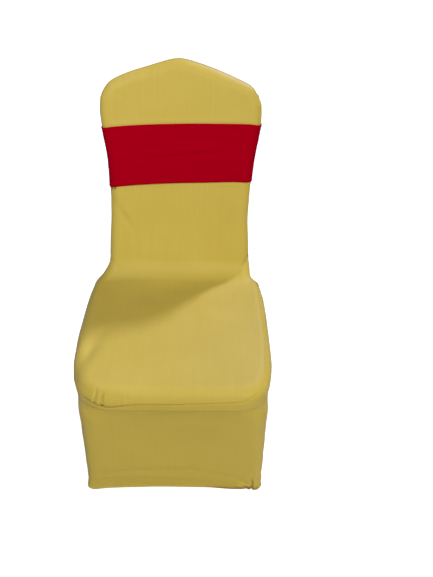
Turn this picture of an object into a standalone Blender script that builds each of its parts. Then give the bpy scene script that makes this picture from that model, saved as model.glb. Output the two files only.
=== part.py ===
"""Fitted stretch cover for a crown-backed banquet chair, with a plain sash band round its back.

The cover is a hollow of three sewn panels and four foot pockets:
    front_panel    inside back and seat in one length, bridging the lap
    skirt          one wraparound piece: boxing round the cushion's edge, then down to the hem
    outside_back   from the crown's seam down to the rear hem
    foot_pocket_*  small cups at the bottom corners, which hook under the chair's feet
    sash_band      a closed band over the back

Sizes are first worked out standing on the floor, with the cushion's front face at y = 0. The
finished meshes are then moved so that the origin lies under the crown's top, inside the cover.
+X is to the right of someone facing the chair, +Y runs from the seat's front to its back.

The front panel is thought of as a flat outline, bent once along a profile (seat, lap, back).
"along" is the distance along that profile from the front edge, "across" the distance from the
centre line. Round the outline the cloth rolls over the padding by a quarter of an ellipse.
"""

import math

import bpy
import numpy as np

# Cloth
CLOTH = 0.0012
SASH_CLOTH = 0.0014
SEAM_GAP = 0.0003
SHARPEST_SEAM = math.radians(90)
SASH_CLEARANCE = 0.0010

# Padding under the cloth
SEAT_HEIGHT = 0.457
LAP_Y = 0.4105
RECLINE = 0.236
LAP_RADIUS = 0.055
BACK_DEPTH = 0.045
BACK_ROLL = 0.022
NOTCH_ROLL = 0.120
NOTCH_HEIGHT = 0.435
NOTCH_REACH = 0.036
SEAT_ROLL = 0.030
SEAT_DROP = 0.030
BAND_HEIGHT = 0.016
CORNER_DROP = 0.010
CORNER_DROP_MIDDLE = -0.125
CORNER_DROP_REACH = (0.040, 0.050)
BAND_SHARES = (0.34, 0.67, 1.0)
UNDERCUT = 0.009
SIDE_UNDERCUT = 0.003
SIDE_UNDERCUT_FADE = (0.001, 0.020)

# Gentle swellings of the padding, each over a middle and a reach (across, along)
SEAT_CROWN = 0.006
SEAT_CROWN_HALF = 0.200
SEAT_CROWN_FRONT = 0.120
SEAT_CROWN_REAR = 0.250
LUMBAR_SWELL = 0.006
LUMBAR_MIDDLE = (-0.030, 0.515)
LUMBAR_REACH = (0.110, 0.040)

# The front panel's outline: half-widths to the left and right of the centre line at each
# distance along the profile, from the middle of the front edge up to the crown's point.
FRONT_PANEL_OUTLINE = (
    # name               along    left    right
    ("front middle",     0.0000, 0.0000, 0.0000),
    ("front straight",   0.0015, 0.1180, 0.1400),
    ("corner start",     0.0080, 0.1500, 0.1670),
    ("front corner",     0.0330, 0.1870, 0.1960),
    ("corner end",       0.0750, 0.2085, 0.2125),
    ("seat front",       0.1250, 0.2175, 0.2200),
    ("seat middle",      0.2200, 0.2245, 0.2250),
    ("seat rear",        0.3300, 0.2265, 0.2255),
    ("rear corner",      0.3780, 0.2232, 0.2190),
    ("lap",              0.4050, 0.2020, 0.1940),
    ("back foot",        0.4260, 0.1882, 0.1898),
    ("low back",         0.4800, 0.1828, 0.1840),
    ("waist",            0.5600, 0.1755, 0.1780),
    ("ribs",             0.6300, 0.1735, 0.1790),
    ("sash foot",        0.6800, 0.1740, 0.1815),
    ("sash top",         0.7550, 0.1835, 0.1905),
    ("shoulder side",    0.7900, 0.1872, 0.1946),
    ("shoulder start",   0.8180, 0.1850, 0.1925),
    ("shoulder",         0.8390, 0.1760, 0.1820),
    ("shoulder end",     0.8560, 0.1612, 0.1690),
    ("crown slope",      0.8740, 0.1245, 0.1285),
    ("crown middle",     0.8920, 0.0685, 0.0760),
    ("crown rise",       0.9045, 0.0280, 0.0290),
    ("crown round",      0.9078, 0.0130, 0.0130),
    ("crown point",      0.9090, 0.0000, 0.0000),
)

# How far the front panel reaches over the cushion's roll before its seam, in degrees round
# the roll: 90 is the widest point. The panel sits a little to the left on the chair.
SEAM_REACH = (
    # where, as in the outline   left   right
    ("front middle",              84.0,  84.0),
    ("front straight",            88.0,  72.0),
    ("corner start",              90.0,  60.0),
    ("front corner",              90.0,  42.0),
    ("corner end",                90.0,  30.0),
    ("seat middle",               90.0,  22.0),
    ("seat rear",                 90.0,  22.0),
    ("rear corner",               90.0,  45.0),
    ("back foot",                 90.0,  90.0),
    ("crown point",               90.0,  90.0),
)

# Side view of the outside back: how far back its face stands at each height.
OUTSIDE_BACK_PROFILE = (
    # height     y
    (0.000, 0.5320),
    (0.120, 0.5050),
    (0.250, 0.4820),
    (0.360, 0.4670),
    (0.440, 0.4610),
    (0.520, 0.4705),
    (0.620, 0.4940),
)

# How the skirt tucks in below the boxing: share of the undercut, and how far below
TUCK = ((0.45, 0.006), (1.00, 0.015))

# The cushion's own sides end a little ahead of the lap: the tuck fades out over this stretch
TUCK_FADE = (-0.060, 0.020)

# Rings that the skirt is drawn over: the chair's frame under the cushion, and its four feet
RINGS = {
    # name: left, right, front, corner radius, rear half-width, rear, height, arch
    "frame": (-0.2030, 0.2115, 0.0160, 0.0400, 0.2210, 0.4200, 0.3600, 0.0),
    "hem": (-0.2300, 0.2335, 0.0445, 0.0220, 0.2250, 0.5180, 0.0120, 0.0100),
}
HEM_LEFT, HEM_RIGHT, HEM_FRONT, HEM_CORNER, HEM_REAR_HALF, HEM_REAR, _, HEM_ARCH = RINGS["hem"]

# Foot pockets: cups that stand inside the hem's corners. The front right one has slipped down
# under the hem, and its toe shows in front of it.
POCKET_RADIUS = 0.0165
POCKET_HEIGHT = 0.0240
POCKET_CORNER = 0.0060
POCKET_SIDES = 16
POCKET_REAR = HEM_REAR - 0.012
LOW_POCKET_HEIGHT = 0.0112
FEET = {
    # name: x, y, height of the pocket's underside, the pocket's own height
    "front_left": (HEM_LEFT + HEM_CORNER, HEM_FRONT + HEM_CORNER, 0.0030, POCKET_HEIGHT),
    "front_right": (HEM_RIGHT - 0.0170, HEM_FRONT + 0.0155, 0.0000, LOW_POCKET_HEIGHT),
    "rear_left": (HEM_CORNER - HEM_REAR_HALF, POCKET_REAR, 0.0020, POCKET_HEIGHT),
    "rear_right": (HEM_REAR_HALF - HEM_CORNER, POCKET_REAR, 0.0020, POCKET_HEIGHT),
}

# Sash band: heights of its lower and upper edges across the back
SASH_HALF = 0.188
SASH_EDGES = (
    # across   lower    upper
    (-0.190, 0.6720, 0.8060),
    (-0.160, 0.6800, 0.8140),
    (-0.050, 0.6905, 0.8240),
    (0.060, 0.6960, 0.8290),
    (0.160, 0.7000, 0.8310),
    (0.195, 0.6960, 0.8240),
)

# How finely the panels are divided
ACROSS = 20
SEAT_STEPS = 13
BACK_STEPS = 19
ROLL_ANGLES = np.radians((90.0, 62.0, 38.0, 17.0, 0.0))
SKIRT_SHARES = (0.0, 0.16, 0.33, 0.5, 0.67, 0.84, 1.0)
SASH_ROWS = 3
SASH_END_STEPS = 4
SASH_FACE_STEPS = 12
FILL_REACH = 0.5
OUTLINE_STEPS = 900
OUTLINE_PROBE = 0.002
CORNER_STEPS = 12
POCKET_CORNER_STEPS = 3


def monotone(known_x, known_y, x):
    """A smooth curve through the known points that never overshoots them."""
    known_x = np.asarray(known_x, float)
    known_y = np.asarray(known_y, float)
    step = np.diff(known_x)
    slope = np.diff(known_y) / step
    before, after = slope[:-1], slope[1:]
    same_way = before * after > 0
    safe = np.where(same_way, before + after, 1.0)
    tangent = np.zeros(len(known_x))
    tangent[1:-1] = np.where(same_way, 2 * before * after / safe, 0.0)
    tangent[0], tangent[-1] = slope[0], slope[-1]
    place = np.clip(np.searchsorted(known_x, x, side="right") - 1, 0, len(step) - 1)
    t = (x - known_x[place]) / step[place]
    h = step[place]
    return (
        known_y[place] * (1 + 2 * t) * (1 - t) ** 2
        + tangent[place] * h * t * (1 - t) ** 2
        + known_y[place + 1] * t * t * (3 - 2 * t)
        + tangent[place + 1] * h * t * t * (t - 1)
    )


def smooth_step(low, high, x):
    """0 below low, 1 above high, and an even S between."""
    t = np.clip((x - low) / (high - low), 0, 1)
    return t * t * (3 - 2 * t)


# ------------------------------------------------------------------ the bent profile
LEAN = math.atan(RECLINE)
LAP_TURN = math.pi / 2 - LEAN
LAP_TANGENT = LAP_RADIUS * math.tan(LAP_TURN / 2)
LAP_START = LAP_Y - LAP_TANGENT
LAP_END = LAP_START + LAP_RADIUS * LAP_TURN


def profile(along):
    """Side view of the front panel: (y, z) on the cloth's face, and the direction (y, z) in
    which it drops towards its seams: straight down on the seat, straight back on the back."""
    turned = np.clip((along - LAP_START) / LAP_RADIUS, 0, LAP_TURN)
    up_back = np.maximum(along - LAP_END, 0)
    y = np.minimum(along, LAP_START) + LAP_RADIUS * np.sin(turned) + up_back * math.sin(LEAN)
    z = SEAT_HEIGHT + LAP_RADIUS * (1 - np.cos(turned)) + up_back * math.cos(LEAN)
    drop_turn = turned * (math.pi / 2) / LAP_TURN
    return y, z, np.sin(drop_turn), -np.cos(drop_turn)


def along_of_height(z):
    """The distance along the profile at which the inside back's face has this height."""
    lap_top = SEAT_HEIGHT + LAP_RADIUS * (1 - math.cos(LAP_TURN))
    return LAP_END + (z - lap_top) / math.cos(LEAN)


def on_back(along):
    """0 on the seat, 1 on the inside back, and between them in the lap."""
    return smooth_step(LAP_START, LAP_END, along)


def roll_width(along):
    return SEAT_ROLL + (BACK_ROLL - SEAT_ROLL) * on_back(along)


def rim_depth(along):
    """How far below the face the padding's own edge is, where the roll would end."""
    return SEAT_DROP + (BACK_DEPTH / 2 - SEAT_DROP) * on_back(along)


def roll_depth(across, along):
    """The same with the front panel drawn further down over the left front corner."""
    aside = (across - CORNER_DROP_MIDDLE) / CORNER_DROP_REACH[0]
    pulled = np.exp(-aside ** 2) * (1 - smooth_step(0, CORNER_DROP_REACH[1], along))
    return rim_depth(along) + CORNER_DROP * pulled


def relief(across, along):
    """How far the face stands proud of the bent profile: the seat's crown, which falls off as
    a parabola to both sides, and the low back's swelling, a bell in both directions."""
    middle = np.clip(1 - (across / SEAT_CROWN_HALF) ** 2, 0, 1)
    rise = smooth_step(0, SEAT_CROWN_FRONT, along)
    fall = 1 - smooth_step(SEAT_CROWN_REAR, LAP_START, along)
    aside = (across - LUMBAR_MIDDLE[0]) / LUMBAR_REACH[0]
    above = (along - LUMBAR_MIDDLE[1]) / LUMBAR_REACH[1]
    return SEAT_CROWN * middle * rise * fall + LUMBAR_SWELL * np.exp(-aside ** 2 - above ** 2)


# ------------------------------------------------------------------ the flat outline
OUTLINE_NAMES = [row[0] for row in FRONT_PANEL_OUTLINE]
OUTLINE_ALONG = np.array([row[1] for row in FRONT_PANEL_OUTLINE])
OUTLINE_HALF = {-1: np.array([row[2] for row in FRONT_PANEL_OUTLINE]),
                1: np.array([row[3] for row in FRONT_PANEL_OUTLINE])}


class Side:
    """One side of the flat outline, from the front's middle to the crown's point.

    side is -1 for the left and 1 for the right. The curve runs smoothly through the rows of
    the table. row is where each point lies, counted in rows, and length its distance from the
    front's middle along the outline."""

    def __init__(self, side):
        half = OUTLINE_HALF[side]
        chord = np.hypot(np.diff(half), np.diff(OUTLINE_ALONG))
        knots = np.concatenate([[0], np.cumsum(chord)])
        reach = np.linspace(0, knots[-1], OUTLINE_STEPS)
        self.across = side * monotone(knots, half, reach)
        self.along = monotone(knots, OUTLINE_ALONG, reach)
        steps = np.hypot(np.diff(self.across), np.diff(self.along))
        self.length = np.concatenate([[0], np.cumsum(steps)])
        self.row = np.interp(reach, knots, np.arange(len(knots)))
        self.reach_rows = [OUTLINE_NAMES.index(row[0]) for row in SEAM_REACH]
        self.reach = [row[1 if side < 0 else 2] for row in SEAM_REACH]
        self.side = side

    def length_at(self, name):
        return float(np.interp(OUTLINE_NAMES.index(name), self.row, self.length))

    def at(self, length):
        """(across, along, outward across, outward along, seam reach in radians)"""
        length = np.clip(length, 0, self.length[-1])
        across = np.interp(length, self.length, self.across)
        along = np.interp(length, self.length, self.along)
        ahead = np.minimum(length + OUTLINE_PROBE, self.length[-1])
        behind = np.maximum(length - OUTLINE_PROBE, 0)
        d_across = np.interp(ahead, self.length, self.across)
        d_across = d_across - np.interp(behind, self.length, self.across)
        d_along = np.interp(ahead, self.length, self.along)
        d_along = d_along - np.interp(behind, self.length, self.along)
        size = np.hypot(d_across, d_along)
        row = np.interp(length, self.length, self.row)
        reach = np.radians(monotone(self.reach_rows, self.reach, row))
        return across, along, self.side * d_along / size, -self.side * d_across / size, reach


LEFT, RIGHT = Side(-1), Side(1)
OUTLINE_POINTS = np.concatenate([
    np.stack([LEFT.across, LEFT.along], 1)[::-1],
    np.stack([RIGHT.across, RIGHT.along], 1)[1:],
])


def distance_to(points, across, along, chunk=2000):
    """The distance from each place to the open line through the points, a chunk at a time."""
    start, end = points[:-1], points[1:]
    run = end - start
    size = (run ** 2).sum(1)
    flat = np.stack([np.ravel(across), np.ravel(along)], 1)
    result = np.empty(len(flat))
    for first in range(0, len(flat), chunk):
        away = flat[first:first + chunk, None, :] - start[None]
        t = np.clip((away * run).sum(2) / size, 0, 1)
        result[first:first + chunk] = np.sqrt(((away - t[..., None] * run) ** 2).sum(2).min(1))
    return result.reshape(np.shape(across))


def quarter_round(share):
    """How far the roll has dropped, from 0 to 1, at this share of its width from its widest
    point (share 0) to the face (share 1)."""
    share = np.clip(share, 0, 1)
    return 1 - np.sqrt(share * (2 - share))


def place(across, along, drop):
    """The 3-D point at a place on the face, let down by drop."""
    y, z, drop_y, drop_z = profile(along)
    return np.stack(np.broadcast_arrays(across, y + drop * drop_y, z + drop * drop_z), -1)


# ------------------------------------------------------------------ stations round the panel
def graded(steps, start_gaps, end_gaps, total):
    """steps + 1 distances from 0 to total, with the given first and last gaps from each end."""
    low = np.asarray(start_gaps)
    high = total - np.asarray(end_gaps)[::-1]
    inner = steps + 1 - len(low) - len(high)
    middle = np.linspace(low[-1], high[0], inner + 2)[1:-1]
    return np.concatenate([low, middle, high])


def roll_gaps(width):
    """Distances in from the widest point at which the roll has turned by ROLL_ANGLES."""
    return width * (1 - np.sin(ROLL_ANGLES))


def side_lengths(side):
    """Stations along one side, from its front corner to the shoulder, with one at the rear
    corner, where the three panels meet."""
    front = side.length_at("front corner")
    rear = side.length_at("rear corner")
    shoulder = side.length_at("shoulder")
    seat = front + graded(SEAT_STEPS, roll_gaps(SEAT_ROLL), [0.0], rear - front)
    back = rear + graded(BACK_STEPS, [0.0], roll_gaps(BACK_ROLL), shoulder - rear)
    return np.concatenate([seat, back[1:]])


def cross_lengths(name, width):
    """Stations across the front (left to right) or the crown, as signed distances from the
    middle: the outline is followed from the left corner to the right one."""
    left, right = LEFT.length_at(name), RIGHT.length_at(name)
    if name == "front corner":
        return graded(ACROSS, roll_gaps(width), roll_gaps(width), left + right) - left
    left, right = LEFT.length[-1] - left, RIGHT.length[-1] - right
    return graded(ACROSS, roll_gaps(width), roll_gaps(width), left + right) - left


def outline_at(signed, from_top=False):
    """Outline values at signed distances from the front's middle, or from the crown's point."""
    left = LEFT.at(LEFT.length[-1] + signed if from_top else -signed)
    right = RIGHT.at(RIGHT.length[-1] - signed if from_top else signed)
    return [np.where(signed < 0, low, high) for low, high in zip(left, right)]


def panel_edge(values):
    """Where the front panel's seam lies in the flat outline's plane."""
    across, along, out_across, out_along, reach = values
    short = roll_width(along) * (1 - np.sin(reach))
    return across - out_across * short, along - out_along * short


def fill(bottom, top, left, right):
    """A grid between four edge lines that meet at their ends. Each edge is an array of points;
    bottom and top run left to right, the others upwards. Every row runs straight between the
    two sides, and bends towards the bottom's or the top's own shape only near it."""
    u = share_of_length(bottom)[None, :, None]
    u_top = share_of_length(top)[None, :, None]
    v = share_of_length(left)[:, None, None]
    v_right = share_of_length(right)[:, None, None]
    across = (1 - (v + v_right) / 2) * u + (v + v_right) / 2 * u_top
    upward = (1 - across) * v + across * v_right

    def straight(start, end):
        return (1 - across) * start + across * end

    sag = 1 - smooth_step(0, FILL_REACH, upward)
    lift = smooth_step(1 - FILL_REACH, 1, upward)
    return (
        straight(left[:, None], right[:, None])
        + sag * (bottom - straight(bottom[0], bottom[-1]))
        + lift * (top - straight(top[0], top[-1]))
    )


def share_of_length(line):
    steps = np.sqrt((np.diff(line, axis=0) ** 2).sum(1))
    return np.concatenate([[0], np.cumsum(steps)]) / steps.sum()


# ------------------------------------------------------------------ the three panels
def front_panel():
    """Grid of the front panel, rows from its front edge up to the crown."""
    front = np.stack(panel_edge(outline_at(cross_lengths("front corner", SEAT_ROLL))), 1)
    crown_stations = cross_lengths("shoulder", BACK_ROLL)
    crown = np.stack(panel_edge(outline_at(crown_stations, from_top=True)), 1)
    left = np.stack(panel_edge(LEFT.at(side_lengths(LEFT))), 1)
    right = np.stack(panel_edge(RIGHT.at(side_lengths(RIGHT))), 1)
    flat = fill(front, crown, left, right)
    across, along = flat[..., 0], flat[..., 1]
    share = distance_to(OUTLINE_POINTS, across, along) / roll_width(along)
    drop = roll_depth(across, along) * quarter_round(share) - relief(across, along)
    return place(across, along, drop)


def arc(centre_across, centre_y, radius, start_deg, end_deg, steps=CORNER_STEPS):
    turn = np.radians(np.linspace(start_deg, end_deg, steps + 1))
    return np.stack([centre_across + radius * np.cos(turn), centre_y + radius * np.sin(turn)], 1)


def along_line(line, share):
    """Points at these shares of the length of a flat line."""
    known = share_of_length(line)
    return np.stack([np.interp(share, known, line[:, axis]) for axis in (0, 1)], 1)


def ring_line(name, signed):
    """A ring that the skirt is drawn over, below each station: from the left rear corner, round
    the two front corners, to the right rear corner. Between corners it may arch up."""
    left, right, front, radius, rear_half, rear, height, arch = RINGS[name]
    left_centre = (left + radius, front + radius, radius)
    right_centre = (right - radius, front + radius, radius)
    lines = (
        np.concatenate([[(-rear_half, rear)], arc(*left_centre, 180, 225)]),
        np.concatenate([arc(*left_centre, 225, 270), arc(*right_centre, 270, 315)]),
        np.concatenate([arc(*right_centre, 315, 360), [(rear_half, rear)]]),
    )
    stops = (
        -LEFT.length_at("rear corner"), -LEFT.length_at("front corner"),
        RIGHT.length_at("front corner"), RIGHT.length_at("rear corner"),
    )
    result = np.empty((len(signed), 3))
    for line, start, end in zip(lines, stops[:-1], stops[1:]):
        share = (signed - start) / (end - start)
        here = (share > -1e-9) & (share < 1 + 1e-9)
        t = np.clip(share[here], 0, 1)
        result[here, :2] = along_line(line, t)
        result[here, 2] = height + 4 * arch * t * (1 - t)
    return result


def skirt(front):
    """Grid of the skirt, rows from its seam down to the hem, columns from the left rear corner
    round the front to the right rear corner. Its first row is the front panel's edge."""
    signed = np.concatenate([
        -side_lengths(LEFT)[SEAT_STEPS:0:-1],
        cross_lengths("front corner", SEAT_ROLL),
        side_lengths(RIGHT)[1:SEAT_STEPS + 1],
    ])
    across, along, out_across, out_along, reach = outline_at(signed)
    width, depth = roll_width(along), roll_depth(across, along)
    rim = rim_depth(along) + BAND_HEIGHT
    seam = np.concatenate([front[SEAT_STEPS:0:-1, 0], front[0], front[1:SEAT_STEPS + 1, -1]])
    tuck = UNDERCUT + (SIDE_UNDERCUT - UNDERCUT) * smooth_step(*SIDE_UNDERCUT_FADE, along)
    tuck *= 1 - smooth_step(*(LAP_START + stretch for stretch in TUCK_FADE), along)

    def ring(inward, drop):
        return place(across - out_across * inward, along - out_along * inward, drop)

    rows = [seam]
    left_to_roll = (math.pi / 2 - reach) * (width + depth) / 2
    for share in BAND_SHARES:
        path = share * (left_to_roll + rim - depth)
        rolled = np.minimum(path / left_to_roll.clip(1e-9), 1) * (math.pi / 2 - reach)
        below = np.maximum(path - left_to_roll, 0)
        angle = reach + rolled
        rows.append(ring(width * (1 - np.sin(angle)), depth * (1 - np.cos(angle)) + below))
    for share, below in TUCK:
        rows.append(ring(share * tuck, rim + below))
    frame, hem = ring_line("frame", signed), ring_line("hem", signed)
    for share in SKIRT_SHARES:
        rows.append(frame + (hem - frame) * share)
    return np.stack(rows)


def outside_roll(z):
    """Width of the outside back's roll at this height: wider where it is drawn across the notch
    between the seat's rear corner and the back."""
    return BACK_ROLL + NOTCH_ROLL * np.exp(-((z - NOTCH_HEIGHT) / NOTCH_REACH) ** 2)


def outside_back(front, skirt_grid):
    """Grid of the outside back, rows from the rear hem up to the crown. Its edges are those of
    the skirt and the front panel; between them it stands out to its own face."""
    left = np.concatenate([skirt_grid[::-1, 0], front[SEAT_STEPS + 1:, 0]])
    right = np.concatenate([skirt_grid[::-1, -1], front[SEAT_STEPS + 1:, -1]])
    crown = front[-1]
    t = share_of_length(crown)[:, None]
    hem = left[0] + (right[0] - left[0]) * t
    hem[:, 2] += 4 * HEM_ARCH * t[:, 0] * (1 - t[:, 0])
    grid = fill(hem, crown, left, right)
    border = np.concatenate([left, crown[1:-1], right[::-1]])[:, [0, 2]]
    share = distance_to(border, grid[..., 0], grid[..., 2]) / outside_roll(grid[..., 2])
    heights, faces = zip(*OUTSIDE_BACK_PROFILE)
    above = LAP_Y + RECLINE * (grid[..., 2] - SEAT_HEIGHT) + BACK_DEPTH
    below = monotone(heights, faces, grid[..., 2].clip(heights[0], heights[-1]))
    face = np.where(grid[..., 2] > heights[-1], above, below)
    grid[..., 1] += (face - grid[..., 1]) * (1 - quarter_round(share))
    return grid


# ------------------------------------------------------------------ sash
def half_width(side, z):
    curve = LEFT if side < 0 else RIGHT
    waist = curve.row > OUTLINE_NAMES.index("lap")
    return np.interp(along_of_height(z), curve.along[waist], curve.across[waist])


def sash_band():
    """Grid of the sash's inner face: rows from its lower to its upper edge, columns once round
    the back, starting at the left edge and running over the front first."""
    turn = np.linspace(0, math.pi / 2, SASH_END_STEPS + 1)
    ends = 1 - BACK_ROLL / SASH_HALF * (1 - np.sin(turn))
    flat = np.linspace(-ends[0], ends[0], SASH_FACE_STEPS + 1)
    front = np.concatenate([-ends[::-1], flat[1:-1], ends])
    u = np.concatenate([front, front[-2:0:-1]])
    face = np.concatenate([np.ones(len(front)), -np.ones(len(front) - 2)])
    known, lower, upper = zip(*SASH_EDGES)
    low = monotone(known, lower, u * SASH_HALF)
    high = monotone(known, upper, u * SASH_HALF)
    share = np.linspace(0, 1, SASH_ROWS + 1)[:, None]
    z = low + (high - low) * share
    across = np.where(u < 0, -u * half_width(-1, z), u * half_width(1, z))
    along = along_of_height(z)
    near = distance_to(OUTLINE_POINTS, across, along) / BACK_ROLL
    near[:, np.abs(u) == 1] = 0
    stands = BACK_DEPTH / 2 * (1 - quarter_round(near)) * face
    middle = LAP_Y + RECLINE * (z - SEAT_HEIGHT) + BACK_DEPTH / 2
    grid = np.stack([across, middle - stands, z], -1)
    round_band = np.roll(grid, -1, 1) - np.roll(grid, 1, 1)
    outward = np.stack([round_band[..., 1], -round_band[..., 0]], -1)
    outward /= np.linalg.norm(outward, axis=-1, keepdims=True)
    grid[..., :2] += outward * SASH_CLEARANCE
    return grid


# ------------------------------------------------------------------ into Blender
def empty_scene():
    for thing in list(bpy.data.objects):
        bpy.data.objects.remove(thing, do_unlink=True)
    for mesh in list(bpy.data.meshes):
        bpy.data.meshes.remove(mesh)


def cloth_material(name, colour, roughness):
    material = bpy.data.materials.new(name)
    material.use_nodes = True
    shader = material.node_tree.nodes["Principled BSDF"]
    shader.inputs["Base Color"].default_value = (*colour, 1)
    shader.inputs["Roughness"].default_value = roughness
    shader.inputs["Metallic"].default_value = 0
    return material


def unit(vectors):
    return vectors / np.linalg.norm(vectors, axis=-1, keepdims=True)


def inward(grid):
    """Directions along the cloth, away from a panel's first and last rows and columns. At a
    corner the direction is the diagonal one."""
    inner = grid.copy()
    inner[0], inner[-1] = grid[1], grid[-2]
    inner[:, 0], inner[:, -1] = inner[:, 1].copy(), inner[:, -2].copy()
    away = inner - grid
    return unit(away[0]), unit(away[-1]), unit(away[:, 0]), unit(away[:, -1])


def draw_in(grid, neighbours):
    """Stops a panel short of its seams. neighbours holds, for its first and last rows and its
    first and last columns, the directions in which the cloth on the seam's other side runs, or
    None at a free edge. Where two panels meet at an angle they stop shorter, so that their
    inner faces don't cross. SHARPEST_SEAM is the smallest angle that counts."""
    result = grid.copy()
    edges = (result[0], result[-1], result[:, 0], result[:, -1])
    for edge, own, other in zip(edges, inward(grid), neighbours):
        if other is not None:
            angle = np.arccos(np.clip((own * other).sum(-1), -1, math.cos(SHARPEST_SEAM)))
            edge += own * (SEAM_GAP + CLOTH / np.tan(angle / 2))[:, None]
    return result


def sheet(name, grid, thickness, material, closed=False, offset=-1):
    """An object of one cloth: the grid as a surface, given its thickness by Solidify."""
    rows, columns = grid.shape[:2]
    index = np.arange(rows * columns).reshape(rows, columns)
    if closed:
        index = np.concatenate([index, index[:, :1]], 1)
    faces = np.stack([index[:-1, :-1], index[:-1, 1:], index[1:, 1:], index[1:, :-1]], -1)
    mesh = bpy.data.meshes.new(name)
    points = grid.reshape(-1, 3) - ORIGIN
    mesh.from_pydata(points.tolist(), [], faces.reshape(-1, 4).tolist())
    mesh.shade_smooth()
    item = bpy.data.objects.new(name, mesh)
    solid = item.modifiers.new("thickness", "SOLIDIFY")
    solid.thickness = thickness
    solid.offset = offset
    item.data.materials.append(material)
    COLLECTION.objects.link(item)
    return item


def foot_pocket(name, x, y, floor, height, material):
    """A cup with a flat floor: its profile turned once about its upright axis."""
    inner = POCKET_RADIUS - POCKET_CORNER
    bend = arc(inner, POCKET_CORNER, POCKET_CORNER, 0, -90, POCKET_CORNER_STEPS)
    outline = np.concatenate([[(POCKET_RADIUS, height)], bend, [(0.0, 0.0)]])
    mesh = bpy.data.meshes.new(name)
    points = [(radius, 0.0, level) for radius, level in outline]
    mesh.from_pydata(points, [(i, i + 1) for i in range(len(points) - 1)], [])
    item = bpy.data.objects.new(name, mesh)
    item.location = np.array((x, y, floor)) - ORIGIN
    turn = item.modifiers.new("turn", "SCREW")
    turn.steps = turn.render_steps = POCKET_SIDES
    turn.use_merge_vertices = True
    turn.merge_threshold = 0.0001
    solid = item.modifiers.new("thickness", "SOLIDIFY")
    solid.thickness = CLOTH
    solid.offset = -1
    item.data.materials.append(material)
    COLLECTION.objects.link(item)
    return item


PEAK_Y, PEAK_Z = (float(value) for value in profile(np.array(OUTLINE_ALONG[-1]))[:2])
ORIGIN = np.array((0.0, PEAK_Y + BACK_DEPTH / 2, PEAK_Z - CLOTH))

empty_scene()
COLLECTION = bpy.data.collections.new("chair_cover_with_sash")
bpy.context.scene.collection.children.link(COLLECTION)

gold_knit = cloth_material("gold_stretch_knit", (0.52, 0.40, 0.10), 0.62)
red_knit = cloth_material("red_stretch_knit", (0.34, 0.0, 0.01), 0.6)

front_grid = front_panel()
skirt_grid = skirt(front_grid)
back_grid = outside_back(front_grid, skirt_grid)

front_low, front_top, front_left, front_right = inward(front_grid)
skirt_top, _, skirt_left, skirt_right = inward(skirt_grid)
_, back_top, back_left, back_right = inward(back_grid)

# Each seam is one line that both of its panels share, station by station
LEFT_CORNER, RIGHT_CORNER = SEAT_STEPS, SEAT_STEPS + ACROSS
SKIRT_ROWS = len(skirt_grid)
front_gaps = draw_in(front_grid, (
    skirt_top[LEFT_CORNER:RIGHT_CORNER + 1],
    back_top,
    np.concatenate([skirt_top[LEFT_CORNER::-1], back_left[SKIRT_ROWS:]]),
    np.concatenate([skirt_top[RIGHT_CORNER:], back_right[SKIRT_ROWS:]]),
))
skirt_gaps = draw_in(skirt_grid, (
    np.concatenate([front_left[SEAT_STEPS:0:-1], front_low, front_right[1:SEAT_STEPS + 1]]),
    None,
    back_left[SKIRT_ROWS - 1::-1],
    back_right[SKIRT_ROWS - 1::-1],
))
back_gaps = draw_in(back_grid, (
    None,
    front_top,
    np.concatenate([skirt_left[::-1], front_left[SEAT_STEPS + 1:]]),
    np.concatenate([skirt_right[::-1], front_right[SEAT_STEPS + 1:]]),
))
sheet("front_panel", front_gaps, CLOTH, gold_knit)
sheet("skirt", skirt_gaps[::-1], CLOTH, gold_knit)
sheet("outside_back", back_gaps[:, ::-1], CLOTH, gold_knit)
sheet("sash_band", sash_band(), SASH_CLOTH, red_knit, closed=True, offset=1)

for foot, (foot_x, foot_y, foot_floor, foot_height) in FEET.items():
    foot_pocket(f"foot_pocket_{foot}", foot_x, foot_y, foot_floor, foot_height, gold_knit)
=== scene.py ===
"""A fitted stretch cover for a crown-backed banquet chair, with a sash band round its back.

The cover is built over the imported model, one cloth for each of its nodes. Shapes are worked out
standing on the floor, with the cushion's front face at y = 0, and are then moved into the
model's own frame, whose origin lies under the crown's top. +X is to the right of someone who
faces the chair, +Y runs from the seat's front to its back, and +Z is up.

The front panel is a flat outline bent once along a profile of seat, lap and back. "along" is the
distance along that profile from the front edge, and "across" the distance from the centre line.
"""
import math

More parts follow.
